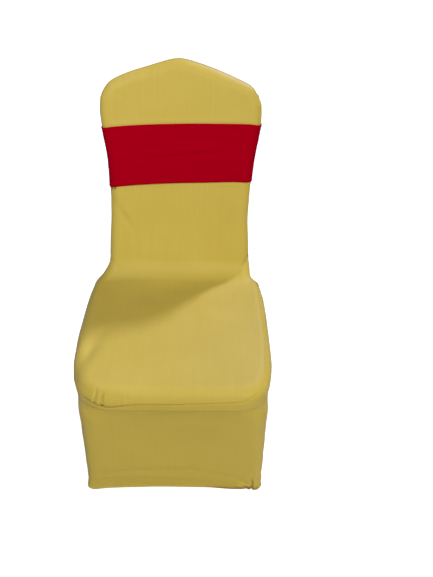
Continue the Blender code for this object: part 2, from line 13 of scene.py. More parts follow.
import bpy
import numpy as np
from mathutils import Matrix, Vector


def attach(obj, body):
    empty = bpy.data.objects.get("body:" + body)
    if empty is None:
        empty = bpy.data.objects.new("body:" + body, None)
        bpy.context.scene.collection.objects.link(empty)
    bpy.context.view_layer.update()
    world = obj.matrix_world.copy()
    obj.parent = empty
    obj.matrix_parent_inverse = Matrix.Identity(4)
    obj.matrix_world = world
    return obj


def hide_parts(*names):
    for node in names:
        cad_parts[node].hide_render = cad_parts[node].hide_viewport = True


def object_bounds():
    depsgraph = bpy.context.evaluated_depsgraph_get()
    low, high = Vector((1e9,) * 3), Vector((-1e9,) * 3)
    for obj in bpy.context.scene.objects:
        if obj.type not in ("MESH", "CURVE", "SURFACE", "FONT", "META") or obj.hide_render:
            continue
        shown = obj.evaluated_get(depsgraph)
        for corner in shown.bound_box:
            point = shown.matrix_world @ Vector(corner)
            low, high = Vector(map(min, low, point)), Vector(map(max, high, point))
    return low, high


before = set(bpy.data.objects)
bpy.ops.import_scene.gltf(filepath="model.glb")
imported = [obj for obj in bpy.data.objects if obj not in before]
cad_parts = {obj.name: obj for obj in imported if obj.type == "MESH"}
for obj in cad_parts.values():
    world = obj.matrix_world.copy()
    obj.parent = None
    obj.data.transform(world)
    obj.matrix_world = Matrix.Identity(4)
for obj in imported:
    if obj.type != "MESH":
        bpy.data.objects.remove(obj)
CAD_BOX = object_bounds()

# ------------------------------------------------------------------ sizes, in metres
CLOTH = 0.0012
SASH_CLOTH = 0.0014
SASH_CLEARANCE = 0.0010

SEAT_HEIGHT = 0.457
LAP_Y = 0.4105
RECLINE = 0.236
LAP_RADIUS = 0.055
BACK_DEPTH = 0.045
BACK_ROLL = 0.022
NOTCH_ROLL = 0.120
NOTCH_HEIGHT = 0.435
NOTCH_REACH = 0.036
SEAT_ROLL = 0.030
SEAT_DROP = 0.030
CORNER_DROP = 0.010
CORNER_DROP_MIDDLE = -0.125
CORNER_DROP_REACH = (0.040, 0.050)

# The skirt, from its seam down: the band that boxes the cushion's edge; the tuck under it, as
# shares of the undercut and distances below the band; and the wall, from ring to ring
BAND_HEIGHT = 0.016
BAND_SHARES = (0.34, 0.67, 1.0)
UNDERCUT = 0.009
SIDE_UNDERCUT = 0.001
SIDE_UNDERCUT_FADE = (0.001, 0.020)
TUCK = ((0.45, 0.006), (1.00, 0.015))
TUCK_FADE = (-0.060, 0.020)
WALL_SHARES = (0.0, 0.12, 0.25, 0.4, 0.6, 0.8, 1.0)
RINGS = {
    # name: left, right, front, corner radius, rear half-width, rear, height, arch
    "frame": (-0.2030, 0.2115, 0.0160, 0.0400, 0.2210, 0.4200, 0.3600, 0.0),
    "hem": (-0.2300, 0.2335, 0.0445, 0.0220, 0.2250, 0.5180, 0.0120, 0.0100),
}
HEM_LEFT, HEM_RIGHT, HEM_FRONT, HEM_CORNER, HEM_REAR_HALF, HEM_REAR, _, HEM_ARCH = RINGS["hem"]

SEAT_CROWN = 0.006
SEAT_CROWN_HALF = 0.200
SEAT_CROWN_FRONT = 0.120
SEAT_CROWN_REAR = 0.250
LUMBAR_SWELL = 0.010
LUMBAR_MIDDLE = (-0.045, 0.412)
LUMBAR_REACH = (0.150, 0.070)
LUMBAR_HALF = 0.195

# In millimetres: name, along, and how far the left and the right side are from the middle
FRONT_PANEL_OUTLINE = (
    ("front middle", 0, 0, 0),
    ("front straight", 1.5, 118, 140),
    ("corner start", 8, 150, 167),
    ("front corner", 33, 187, 196),
    ("corner end", 75, 208.5, 212.5),
    ("seat front", 125, 217.5, 220),
    ("seat middle", 220, 224.5, 225),
    ("seat rear", 330, 226.5, 225.5),
    ("rear corner", 378, 223.2, 219),
    ("lap", 405, 202, 194),
    ("back foot", 426, 188.2, 189.8),
    ("low back", 480, 182.8, 184),
    ("waist", 560, 175.5, 178),
    ("ribs", 630, 173.5, 179),
    ("sash foot", 680, 174, 181.5),
    ("sash top", 755, 183.5, 190.5),
    ("shoulder side", 790, 187.2, 194.6),
    ("shoulder start", 818, 185, 192.5),
    ("shoulder", 839, 176, 182),
    ("shoulder end", 856, 161.2, 169),
    ("crown slope", 874, 124.5, 128.5),
    ("crown middle", 892, 68.5, 76),
    ("crown rise", 904.5, 28, 29),
    ("crown round", 907.8, 13, 13),
    ("crown point", 909, 0, 0),
)

# How far round the roll the seam lies at places of the outline, left and right, in degrees
SEAM_REACH = (
    ("front middle", 84, 84),
    ("front straight", 88, 72),
    ("corner start", 90, 60),
    ("front corner", 90, 42),
    ("corner end", 90, 30),
    ("seat middle", 90, 22),
    ("seat rear", 90, 22),
    ("rear corner", 90, 45),
    ("back foot", 90, 90),
    ("crown point", 90, 90),
)

OUTSIDE_BACK_PROFILE = (
    # height     y
    (0.000, 0.5320),
    (0.120, 0.5050),
    (0.250, 0.4820),
    (0.360, 0.4670),
    (0.440, 0.4610),
    (0.520, 0.4705),
    (0.620, 0.4940),
)

POCKET_RADIUS = 0.0165
POCKET_HEIGHT = 0.0240
POCKET_CORNER = 0.0060
POCKET_REAR = HEM_REAR - 0.012
LOW_POCKET_HEIGHT = 0.0112
FEET = {
    # name: x, y, height of the pocket's underside, the pocket's own height
    "front_left": (HEM_LEFT + HEM_CORNER, HEM_FRONT + HEM_CORNER, 0.0030, POCKET_HEIGHT),
    "front_right": (HEM_RIGHT - 0.0170, HEM_FRONT + 0.0155, 0.0000, LOW_POCKET_HEIGHT),
    "rear_left": (HEM_CORNER - HEM_REAR_HALF, POCKET_REAR, 0.0020, POCKET_HEIGHT),
    "rear_right": (HEM_REAR_HALF - HEM_CORNER, POCKET_REAR, 0.0020, POCKET_HEIGHT),
}

SASH_HALF = 0.188
SASH_EDGES = (
    # across   lower    upper
    (-0.190, 0.6738, 0.8082),
    (-0.160, 0.6806, 0.8146),
    (-0.050, 0.6905, 0.8240),
    (0.060, 0.6960, 0.8290),
    (0.160, 0.7000, 0.8310),
    (0.195, 0.6960, 0.8252),
)

# How finely the cloths are divided: steps, and the places (centre, reach, extra) round which
# they lie closer together
ACROSS = 148
FRONT_CROWDING = ((-0.198, 0.010, 4.0), (-0.135, 0.030, 1.6), (0.165, 0.026, 2.6),
                  (0.203, 0.010, 4.0))
SEAT_STEPS = 104
BACK_STEPS = 150
CORNER_CROWDING = (0.009, 4.0)
SKIRT_STEPS = 112
SKIRT_CROWDING = ((0.0, 0.005, 4.0), (0.030, 0.030, 1.5), (0.400, 0.040, 1.0),
                  (0.440, 0.012, 3.0))
SASH_ROWS = 44
SASH_END_STEPS = 14
SASH_FACE_STEPS = 88
FILL_REACH = 0.5
OUTLINE_STEPS = 900
OUTLINE_PROBE = 0.002
CORNER_STEPS = 12
CROWDING_PROBES = 4001
ROUNDING = 1e-9


# ------------------------------------------------------------------ curves
def monotone(known_x, known_y, x):
    """A smooth curve through the known points that never overshoots them: cubic pieces whose
    slope at each point is the harmonic mean of the slopes on its two sides. known_y may hold a
    whole row of values or points for each known x."""
    known_x = np.asarray(known_x, float)
    known_y = np.asarray(known_y, float)
    wide = (..., *[None] * (known_y.ndim - 1))
    step = np.diff(known_x)
    slope = np.diff(known_y, axis=0) / step[wide]
    before, after = slope[:-1], slope[1:]
    same_way = before * after > 0
    safe = np.where(same_way, before + after, 1.0)
    tangent = np.empty_like(known_y)
    tangent[1:-1] = np.where(same_way, 2 * before * after / safe, 0.0)
    tangent[0], tangent[-1] = slope[0], slope[-1]
    piece = np.clip(np.searchsorted(known_x, x, side="right") - 1, 0, len(step) - 1)
    t = ((x - known_x[piece]) / step[piece])[wide]
    h = step[piece][wide]
    return (
        known_y[piece] * (1 + 2 * t) * (1 - t) ** 2
        + tangent[piece] * h * t * (1 - t) ** 2
        + known_y[piece + 1] * t * t * (3 - 2 * t)
        + tangent[piece + 1] * h * t * t * (t - 1)
    )


def smooth_step(low, high, x):
    """0 below low, 1 above high, and an even S between: 3 t^2 - 2 t^3."""
    t = np.clip((x - low) / (high - low), 0, 1)
    return t * t * (3 - 2 * t)


def bell(x, centre, reach):
    """1 at the centre, falling to both sides: exp(-d^2), with d counted in reaches."""
    return np.exp(-((x - centre) / reach) ** 2)


def unit(vectors):
    return vectors / np.linalg.norm(vectors, axis=-1, keepdims=True)


def lengths_along(line):
    """Distance of each point from the line's first, along the line."""
    steps = np.linalg.norm(np.diff(line, axis=0), axis=-1)
    return np.concatenate([np.zeros((1,) + steps.shape[1:]), np.cumsum(steps, axis=0)])


def lengths_across(grid):
    """Distance of each point from the first in its row, along the row."""
    return np.swapaxes(lengths_along(np.swapaxes(grid, 0, 1)), 0, 1)


def points_at(known, points, where):
    """The points of a line at these places, straight between those at the known places."""
    return np.stack([np.interp(where, known, axis) for axis in np.transpose(points)], -1)


def share_of_length(line):
    known = lengths_along(line)
    return known / known[-1]


# ------------------------------------------------------------------ the bent profile
LEAN = math.atan(RECLINE)
LAP_TURN = math.pi / 2 - LEAN
LAP_TANGENT = LAP_RADIUS * math.tan(LAP_TURN / 2)
LAP_START = LAP_Y - LAP_TANGENT
LAP_END = LAP_START + LAP_RADIUS * LAP_TURN


def profile(along):
    """Side view of the front panel: a level line, an arc of LAP_RADIUS and a leaning line.
    Returns (y, z) on the cloth's face, and the direction (y, z) in which the cloth drops
    towards its seams: straight down on the seat, straight back on the back."""
    turned = np.clip((along - LAP_START) / LAP_RADIUS, 0, LAP_TURN)
    up_back = np.maximum(along - LAP_END, 0)
    y = np.minimum(along, LAP_START) + LAP_RADIUS * np.sin(turned) + up_back * math.sin(LEAN)
    z = SEAT_HEIGHT + LAP_RADIUS * (1 - np.cos(turned)) + up_back * math.cos(LEAN)
    drop_turn = turned * (math.pi / 2) / LAP_TURN
    return y, z, np.sin(drop_turn), -np.cos(drop_turn)


def along_of_height(z):
    """The distance along the profile at which the inside back's face has this height."""
    lap_top = SEAT_HEIGHT + LAP_RADIUS * (1 - math.cos(LAP_TURN))
    return LAP_END + (z - lap_top) / math.cos(LEAN)


def on_back(along):
    """0 on the seat, 1 on the inside back, and an even S between them in the lap."""
    return smooth_step(LAP_START, LAP_END, along)


def roll_width(along):
    return SEAT_ROLL + (BACK_ROLL - SEAT_ROLL) * on_back(along)


def rim_depth(along):
    """How far below the face the padding's own edge is, where the roll would end."""
    return SEAT_DROP + (BACK_DEPTH / 2 - SEAT_DROP) * on_back(along)


def roll_depth(across, along):
    """The same with the front panel drawn further down over the left front corner."""
    aside = bell(across, CORNER_DROP_MIDDLE, CORNER_DROP_REACH[0])
    pulled = aside * (1 - smooth_step(0, CORNER_DROP_REACH[1], along))
    return rim_depth(along) + CORNER_DROP * pulled


def padding(across, along):
    """How far the padding stands proud of the bent profile: the seat's crown, which falls off
    as a parabola to both sides, and the cloth that bridges the lap, a bell in both directions
    that the seams at the sides hold down."""
    middle = np.clip(1 - (across / SEAT_CROWN_HALF) ** 2, 0, 1)
    rise = smooth_step(0, SEAT_CROWN_FRONT, along)
    fall = 1 - smooth_step(SEAT_CROWN_REAR, LAP_START, along)
    held = np.clip(1 - (across / LUMBAR_HALF) ** 6, 0, 1)
    bridge = LUMBAR_SWELL * held * bell(across, LUMBAR_MIDDLE[0], LUMBAR_REACH[0])
    bridge = bridge * bell(along, LUMBAR_MIDDLE[1], LUMBAR_REACH[1])
    return SEAT_CROWN * middle * rise * fall + bridge


# ------------------------------------------------------------------ the flat outline
OUTLINE_NAMES = [name for name, *_ in FRONT_PANEL_OUTLINE]
OUTLINE_ALONG, LEFT_HALF, RIGHT_HALF = np.array([row[1:] for row in FRONT_PANEL_OUTLINE]).T / 1000


class Side:
    """One side of the flat outline, from the front's middle to the crown's point.

    side is -1 for the left and 1 for the right. The curve runs smoothly through the rows of
    the table. row is where each point lies, counted in rows, and length its distance from the
    front's middle along the outline."""

    def __init__(self, side, half):
        knots = lengths_along(np.stack([half, OUTLINE_ALONG], 1))
        reach = np.linspace(0, knots[-1], OUTLINE_STEPS)
        self.side = side
        self.flat = monotone(knots, np.stack([side * half, OUTLINE_ALONG], 1), reach)
        self.length = lengths_along(self.flat)
        self.row = np.interp(reach, knots, np.arange(len(knots)))

    def length_at(self, name):
        return float(np.interp(OUTLINE_NAMES.index(name), self.row, self.length))

    def at(self, length):
        """(across, along, outward across, outward along, seam reach in radians)"""
        length = np.clip(length, 0, self.length[-1])
        behind, here, ahead = (
            points_at(self.length, self.flat, np.clip(length + step, 0, self.length[-1]))
            for step in (-OUTLINE_PROBE, 0, OUTLINE_PROBE)
        )
        run = self.side * unit(ahead - behind)
        names, left, right = zip(*SEAM_REACH)
        rows = [OUTLINE_NAMES.index(name) for name in names]
        row = np.interp(length, self.length, self.row)
        reach = np.radians(monotone(rows, left if self.side < 0 else right, row))
        return here[..., 0], here[..., 1], run[..., 1], -run[..., 0], reach


LEFT, RIGHT = Side(-1, LEFT_HALF), Side(1, RIGHT_HALF)
OUTLINE_POINTS = np.concatenate([LEFT.flat[::-1], RIGHT.flat[1:]])
BATCH = 1500


def distance_to(points, across, along):
    """The distance from each place to the open line through the points, in batches of places
    so that it takes little memory."""
    start, end = points[:-1], points[1:]
    run = end - start
    size = (run ** 2).sum(1)
    flat = np.stack([np.ravel(across), np.ravel(along)], 1)
    result = np.empty(len(flat))
    for first in range(0, len(flat), BATCH):
        away = flat[first:first + BATCH, None] - start
        t = np.clip((away * run).sum(2) / size, 0, 1)
        away -= t[..., None] * run
        result[first:first + BATCH] = np.sqrt((away ** 2).sum(2).min(1))
    return result.reshape(np.shape(across))


def quarter_round(share):
    """How far the roll has dropped, from 0 to 1, at this share of its width from its widest
    point (share 0) to the face (share 1): a quarter of an ellipse."""
    share = np.clip(share, 0, 1)
    return 1 - np.sqrt(share * (2 - share))


def place(across, along, drop):
    """The 3-D point at a place on the face, let down by drop."""
    y, z, drop_y, drop_z = profile(along)
    return np.stack(np.broadcast_arrays(across, y + drop * drop_y, z + drop * drop_z), -1)


# ------------------------------------------------------------------ stations round the panel
def crowded(start, end, steps, crowding):
    """steps + 1 stations from start to end, which lie closer together round some places: each
    place is its centre, its reach and how much denser it makes them, as a bell."""
    probe = np.linspace(start, end, CROWDING_PROBES)
    density = np.ones(len(probe))
    for centre, reach, extra in crowding:
        density += extra * bell(probe, centre, reach)
    count = np.concatenate([[0], np.cumsum((density[1:] + density[:-1]) / 2)])
    return np.interp(np.linspace(0, count[-1], steps + 1), count, probe)


def side_lengths(side):
    """Stations along one side, from its front corner to the shoulder, with one at the rear
    corner, where the three panels meet."""
    front = side.length_at("front corner")
    rear = side.length_at("rear corner")
    shoulder = side.length_at("shoulder")
    seat = crowded(front, rear, SEAT_STEPS, [(front, *CORNER_CROWDING)])
    back = crowded(rear, shoulder, BACK_STEPS, [(shoulder, *CORNER_CROWDING)])
    return np.concatenate([seat, back[1:]])


def front_lengths():
    """Stations across the front, as signed distances from its middle along the outline."""
    left, right = LEFT.length_at("front corner"), RIGHT.length_at("front corner")
    return crowded(-left, right, ACROSS, FRONT_CROWDING)


def crown_lengths():
    """Stations across the crown, as signed distances from its point along the outline."""
    left = LEFT.length[-1] - LEFT.length_at("shoulder")
    right = RIGHT.length[-1] - RIGHT.length_at("shoulder")
    ends = ((-left, *CORNER_CROWDING), (right, *CORNER_CROWDING))
    return crowded(-left, right, ACROSS, ends)


def outline_at(signed, from_top=False):
    """Outline values at signed distances from the front's middle, or from the crown's point."""
    left = LEFT.at(LEFT.length[-1] + signed if from_top else -signed)
    right = RIGHT.at(RIGHT.length[-1] - signed if from_top else signed)
    return [np.where(signed < 0, low, high) for low, high in zip(left, right)]


def panel_edge(values):
    """Where the front panel's seam lies in the flat outline's plane."""
    across, along, out_across, out_along, reach = values
    short = roll_width(along) * (1 - np.sin(reach))
    return np.stack([across - out_across * short, along - out_along * short], -1)


def fill(bottom, top, left, right):
    """A grid between four edge lines that meet at their ends. Each edge is an array of points;
    bottom and top run left to right, the others upwards. Every row runs straight between the
    two sides, and bends towards the bottom's or the top's own shape only near it."""
    u = share_of_length(bottom)[None, :, None]
    u_top = share_of_length(top)[None, :, None]
    v = share_of_length(left)[:, None, None]
    v_right = share_of_length(right)[:, None, None]
    across = (1 - (v + v_right) / 2) * u + (v + v_right) / 2 * u_top
    upward = (1 - across) * v + across * v_right

    def straight(start, end):
        return (1 - across) * start + across * end

    sag = 1 - smooth_step(0, FILL_REACH, upward)
    lift = smooth_step(1 - FILL_REACH, 1, upward)
    return (
        straight(left[:, None], right[:, None])
        + sag * (bottom - straight(bottom[0], bottom[-1]))
        + lift * (top - straight(top[0], top[-1]))
    )


# ------------------------------------------------------------------ folds and soft relief
def folds(table, a, b):
    """The height that a table of soft folds adds at each place (a, b) of a cloth.

    A row is a straight crease from (a1, b1) to (a2, b2) with a half-width and a height, which
    is below zero for a trough. Across the crease the height falls as a bell, exp(-(d/w)^2).
    Along it the height starts at the share start, is whole in the middle and ends at the share
    end, with an even S between."""
    total = np.zeros(np.shape(a))
    for _name, *sizes, start, end in table:
        a1, b1, a2, b2, width, height = np.divide(sizes, 1000)
        run_a, run_b = a2 - a1, b2 - b1
        t = ((a - a1) * run_a + (b - b1) * run_b) / (run_a ** 2 + run_b ** 2)
        held = np.clip(t, 0, 1)
        distance = np.hypot(a - a1 - held * run_a, b - b1 - held * run_b)
        rising = start + (1 - start) * smooth_step(0, 0.5, held)
        falling = 1 + (end - 1) * smooth_step(0.5, 1, held)
        total += height * bell(distance, 0, width) * rising * falling
    return total


def ripple(a, b, waves):
    """Shallow unevenness: the sum of a few plane waves, each with its length in metres, its
    direction in degrees, its phase and its height."""
    total = np.zeros(np.shape(a))
    for length, degrees, phase, height in waves:
        turn = math.radians(degrees)
        along = a * math.cos(turn) + b * math.sin(turn)
        total += height * np.sin(2 * math.pi * along / length + phase)
    return total


def round_grid(grid):
    """Differences along the rows of a grid that closes on itself."""
    return np.roll(grid, -1, 1) - np.roll(grid, 1, 1)


def normals(grid, closed=False):
    """Unit normals of a grid: the cross product of its two central differences."""
    along_row = round_grid(grid) if closed else np.gradient(grid, axis=1)
    outward = np.cross(along_row, np.gradient(grid, axis=0))
    if not closed:
        # A panel's outline bends smoothly round its corners, where both differences run the
        # same way, so a corner takes the direction of its two neighbours on the edge
        for row, next_row in ((0, 1), (-1, -2)):
            for column, next_column in ((0, 1), (-1, -2)):
                outward[row, column] = outward[row, next_column] + outward[next_row, column]
    return unit(outward)


def edge_distance(grid, first_row=True, last_row=True):
    """How far each point of a grid lies, along the cloth, from the nearest of its two sides and
    of those rows at its ends that count."""
    from_first, from_left = lengths_along(grid), lengths_across(grid)
    choices = [from_left, from_left[:, -1:] - from_left]
    if first_row:
        choices.append(from_first)
    if last_row:
        choices.append(from_first[-1] - from_first)
    return np.min(choices, axis=0)


SEAM_SINK = 0.0004
SEAM_SOFTNESS = 0.0038
SEAM_PULL = 0.0002
SEAM_PULL_REACH = 0.012


def seam_sink(distance):
    """How far a cloth sinks at its seams: a narrow valley where it turns in to be sewn, in a
    wider, shallower one where the thread holds it down."""
    valley = SEAM_SINK * (1 - smooth_step(0, SEAM_SOFTNESS, distance)) ** 1.5
    return valley + SEAM_PULL * (1 - smooth_step(0, SEAM_PULL_REACH, distance))


def relief(table, a, b, distance, wave_shift=0.0):
    """The folds of a panel and its unevenness, which fades out towards its seams."""
    uneven = ripple(a + wave_shift, b, COVER_WAVES) * smooth_step(0, SEAM_PULL_REACH, distance)
    return folds(table, a, b) + uneven


HEM_DEPTH = 0.0120
HEM_STEP = 0.0006
HEM_STEP_REACH = 0.0012
HEM_ROLL = 0.0009
HEM_ROLL_PLACE = (0.0040, 0.0030)
HEM_FOLD = 0.0030
HEM_FOLD_REACH = 0.0026
STITCH_LINE = 0.0100
GROOVE = 0.0006
GROOVE_REACH = 0.0012


def hem_relief(distance):
    """The turned-up hem, by the distance from the cloth's lower edge: a second layer as deep as
    the hem, fuller near the fold, that the stitches pull into a shallow groove."""
    layer = HEM_STEP * smooth_step(-HEM_STEP_REACH, HEM_STEP_REACH, HEM_DEPTH - distance)
    fullness = HEM_ROLL * bell(distance, *HEM_ROLL_PLACE)
    groove = GROOVE * bell(distance, STITCH_LINE, GROOVE_REACH)
    folded_in = HEM_FOLD * (1 - smooth_step(0, HEM_FOLD_REACH, distance)) ** 2
    return layer + fullness - groove - folded_in


SQUEEZE = 0.0005
SQUEEZE_EDGE = (-0.002, 0.003)
SWELL = 0.0007
SWELL_PLACE = (-0.005, 0.004)


def under_sash(across, z):
    """The cover under and beside the sash: pressed in under it, and swollen along its edges."""
    known, lower, upper = zip(*SASH_EDGES)
    from_edges = z - np.interp(across, known, lower), np.interp(across, known, upper) - z
    inside = np.prod([smooth_step(*SQUEEZE_EDGE, inward) for inward in from_edges], axis=0)
    beside = sum(bell(inward, *SWELL_PLACE) for inward in from_edges)
    return SWELL * beside - SQUEEZE * inside


# ------------------------------------------------------------------ the cloths
def front_panel():
    """Grid of the front panel, rows from its front edge up to the crown, and each point's
    place (across, along) in the flat cut."""
    flat = fill(
        panel_edge(outline_at(front_lengths())),
        panel_edge(outline_at(crown_lengths(), from_top=True)),
        *(panel_edge(side.at(side_lengths(side))) for side in (LEFT, RIGHT)),
    )
    across, along = flat[..., 0], flat[..., 1]
    share = distance_to(OUTLINE_POINTS, across, along) / roll_width(along)
    drop = roll_depth(across, along) * quarter_round(share) - padding(across, along)
    return place(across, along, drop), flat


def arc(centre_across, centre_y, radius, start_deg, end_deg, steps=CORNER_STEPS):
    turn = np.radians(np.linspace(start_deg, end_deg, steps + 1))
    return np.stack([centre_across + radius * np.cos(turn), centre_y + radius * np.sin(turn)], 1)


def ring_line(name, signed):
    """A ring that the skirt is drawn over, below each station: from the left rear corner, round
    the two front corners, to the right rear corner. Between corners it may arch up."""
    left, right, front, radius, rear_half, rear, height, arch = RINGS[name]
    left_centre = (left + radius, front + radius, radius)
    right_centre = (right - radius, front + radius, radius)
    lines = (
        np.concatenate([[(-rear_half, rear)], arc(*left_centre, 180, 225)]),
        np.concatenate([arc(*left_centre, 225, 270), arc(*right_centre, 270, 315)]),
        np.concatenate([arc(*right_centre, 315, 360), [(rear_half, rear)]]),
    )
    stops = (
        -LEFT.length_at("rear corner"), -LEFT.length_at("front corner"),
        RIGHT.length_at("front corner"), RIGHT.length_at("rear corner"),
    )
    result = np.empty((len(signed), 3))
    for line, start, end in zip(lines, stops[:-1], stops[1:]):
        share = (signed - start) / (end - start)
        here = (share > -ROUNDING) & (share < 1 + ROUNDING)
        t = np.clip(share[here], 0, 1)
        result[here, :2] = points_at(share_of_length(line), line, t)
        result[here, 2] = height + 4 * arch * t * (1 - t)
    return result


def skirt(front):
    """Grid of the skirt, rows from its seam down to the hem, columns from the left rear corner
    round the front to the right rear corner. Its first row is the front panel's edge. Also
    returns each point's distance round and down."""
    signed = np.concatenate([
        -side_lengths(LEFT)[SEAT_STEPS:0:-1], front_lengths(),
        side_lengths(RIGHT)[1:SEAT_STEPS + 1],
    ])
    across, along, out_across, out_along, reach = outline_at(signed)
    width, depth = roll_width(along), roll_depth(across, along)
    rim = rim_depth(along) + BAND_HEIGHT
    seam = np.concatenate([front[SEAT_STEPS:0:-1, 0], front[0], front[1:SEAT_STEPS + 1, -1]])
    tuck = UNDERCUT + (SIDE_UNDERCUT - UNDERCUT) * smooth_step(*SIDE_UNDERCUT_FADE, along)
    tuck *= 1 - smooth_step(*(LAP_START + stretch for stretch in TUCK_FADE), along)

    def ring(inward, drop):
        return place(across - out_across * inward, along - out_along * inward, drop)

    rows = [seam]
    left_to_roll = (math.pi / 2 - reach) * (width + depth) / 2
    for share in BAND_SHARES:
        path = share * (left_to_roll + rim - depth)
        rolled = np.minimum(path / left_to_roll.clip(ROUNDING), 1) * (math.pi / 2 - reach)
        below = np.maximum(path - left_to_roll, 0)
        angle = reach + rolled
        rows.append(ring(width * (1 - np.sin(angle)), depth * (1 - np.cos(angle)) + below))
    for share, below in TUCK:
        rows.append(ring(share * tuck, rim + below))
    frame_ring, hem_ring = ring_line("frame", signed), ring_line("hem", signed)
    for share in WALL_SHARES:
        rows.append(frame_ring + (hem_ring - frame_ring) * share)
    keys = np.stack(rows)
    knots = lengths_along(keys).mean(1)
    levels = crowded(0, knots[-1], SKIRT_STEPS, SKIRT_CROWDING)
    return monotone(knots, keys, levels), np.stack(np.meshgrid(signed, levels), -1)


def outside_roll(z):
    """Width of the outside back's roll at this height: wider where it is drawn across the notch
    between the seat's rear corner and the back."""
    return BACK_ROLL + NOTCH_ROLL * bell(z, NOTCH_HEIGHT, NOTCH_REACH)


def outside_back(front, skirt_grid):
    """Grid of the outside back, rows from the rear hem up to the crown. Its edges are those of
    the skirt and the front panel; between them it stands out to its own face."""
    left, right = (
        np.concatenate([skirt_grid[::-1, end], front[SEAT_STEPS + 1:, end]]) for end in (0, -1)
    )
    crown = front[-1]
    t = share_of_length(crown)[:, None]
    hem = left[0] + (right[0] - left[0]) * t
    hem[:, 2] += 4 * HEM_ARCH * t[:, 0] * (1 - t[:, 0])
    grid = fill(hem, crown, left, right)
    border = np.concatenate([left, crown[1:-1], right[::-1]])[:, [0, 2]]
    share = distance_to(border, grid[..., 0], grid[..., 2]) / outside_roll(grid[..., 2])
    heights, faces = zip(*OUTSIDE_BACK_PROFILE)
    above = LAP_Y + RECLINE * (grid[..., 2] - SEAT_HEIGHT) + BACK_DEPTH
    below = monotone(heights, faces, grid[..., 2].clip(heights[0], heights[-1]))
    face = np.where(grid[..., 2] > heights[-1], above, below)
    grid[..., 1] += (face - grid[..., 1]) * (1 - quarter_round(share))
    return grid


def half_width(side, z):
    curve = LEFT if side < 0 else RIGHT
    waist = curve.row > OUTLINE_NAMES.index("lap")
    across, along = curve.flat[waist].T
    return np.interp(along_of_height(z), along, across)


def sash_band():
    """Grid of the sash's inner face: rows from its lower to its upper edge, columns once round
    the back, starting at the left edge and running over the front first."""
    turn = np.linspace(0, math.pi / 2, SASH_END_STEPS + 1)
    ends = 1 - BACK_ROLL / SASH_HALF * (1 - np.sin(turn))
    flat = np.linspace(-ends[0], ends[0], SASH_FACE_STEPS + 1)
    front = np.concatenate([-ends[::-1], flat[1:-1], ends])
    u = np.concatenate([front, front[-2:0:-1]])
    face = np.concatenate([np.ones(len(front)), -np.ones(len(front) - 2)])
    known, lower, upper = zip(*SASH_EDGES)
    low = monotone(known, lower, u * SASH_HALF)
    high = monotone(known, upper, u * SASH_HALF)
    share = np.linspace(0, 1, SASH_ROWS + 1)[:, None]
    z = low + (high - low) * share
    across = np.where(u < 0, -u * half_width(-1, z), u * half_width(1, z))
    along = along_of_height(z)
    near = distance_to(OUTLINE_POINTS, across, along) / BACK_ROLL
    near[:, np.abs(u) == 1] = 0
    stands = BACK_DEPTH / 2 * (1 - quarter_round(near)) * face
    middle = LAP_Y + RECLINE * (z - SEAT_HEIGHT) + BACK_DEPTH / 2
    grid = np.stack([across, middle - stands, z], -1)
    round_band = round_grid(grid)
    outward = unit(np.stack([round_band[..., 1], -round_band[..., 0]], -1))
    grid[..., :2] += outward * SASH_CLEARANCE
    return grid


PEAK_Y, PEAK_Z = (float(value) for value in profile(np.array(OUTLINE_ALONG[-1]))[:2])
ORIGIN = np.array((0.0, PEAK_Y + BACK_DEPTH / 2, PEAK_Z - CLOTH))


# ------------------------------------------------------------------ creases and waves
# Each row: a name; in millimetres, where it starts (a, b) and where it ends (a, b) on the flat
# cloth, its half-width and its height, which is below zero for a trough; and how strong it is
# at its start and at its end.
# a and b are across and along
FRONT_FOLDS = (
    ("corner tuck 1", -144.5, 21, -153, 10.5, 2.5, -3, 0.2, 0.6),
    ("corner tuck 2", -133, 13.5, -139, 6.5, 2.6, -3.4, 0.3, 0.7),
    ("corner tuck 3", -137.5, 4.2, -128, 4, 1.5, -1.4, 0.6, 0.2),
    ("corner lip 1", -149.5, 19, -159.5, 8.5, 1.9, 1.4, 0.1, 1),
    ("corner lip 2", -138.5, 15, -147, 5.5, 2, 1.5, 0.1, 1),
    ("corner lip 3", -126.5, 12, -131, 3.5, 2, 1.1, 0.1, 1),
    ("front pleat 1", -97.5, 15, -98.5, 1.2, 2.4, -1.2, 0, 1),
    ("front pleat lip", -91, 15, -92, 1.2, 2, 0.6, 0, 1),
    ("front pleat 2", -84, 12, -85, 1.2, 2.4, -1, 0, 1),
    ("front pull 1", -60, 50, -68, 1.5, 6, -0.4, 0, 1),
    ("front pull 2", 35, 45, 38, 1.5, 7, -0.3, 0, 1),
    ("right corner pull", 148, 60, 170, 12, 6, -0.4, 0, 1),
    ("left hollow", -167, 170, -196, 70, 16, -5.4, 0.4, 0.5),
    ("left rim swell", -199, 165, -206, 125, 8, 1.4, 0.2, 0.3),
    ("right lap crease", 186, 442, 133, 376, 6, -2.6, 1, 0),
    ("right lap swell", 190, 418, 150, 366, 11, 1.4, 0.8, 0),
    ("left lap crease", -185, 436, -145, 398, 6, -1.2, 1, 0),
    ("lap hollow", -130, 408, 120, 402, 18, -1, 0.3, 0.3),
    ("left back pull", -164, 590, -113, 505, 9, -2.2, 0.4, 0.1),
    ("left back swell", -152, 635, -150, 565, 11, 1.4, 0.2, 0.3),
    ("right back strip", 160, 640, 162, 490, 8, -1.2, 0.3, 0.6),
    ("crown pull left", -160, 842, -90, 805, 10, -0.5, 0.8, 0),
    ("crown pull right", 165, 830, 100, 800, 10, -0.5, 0.8, 0),
    ("crown point pull", 0, 905, 6, 860, 9, -0.5, 1, 0),
)
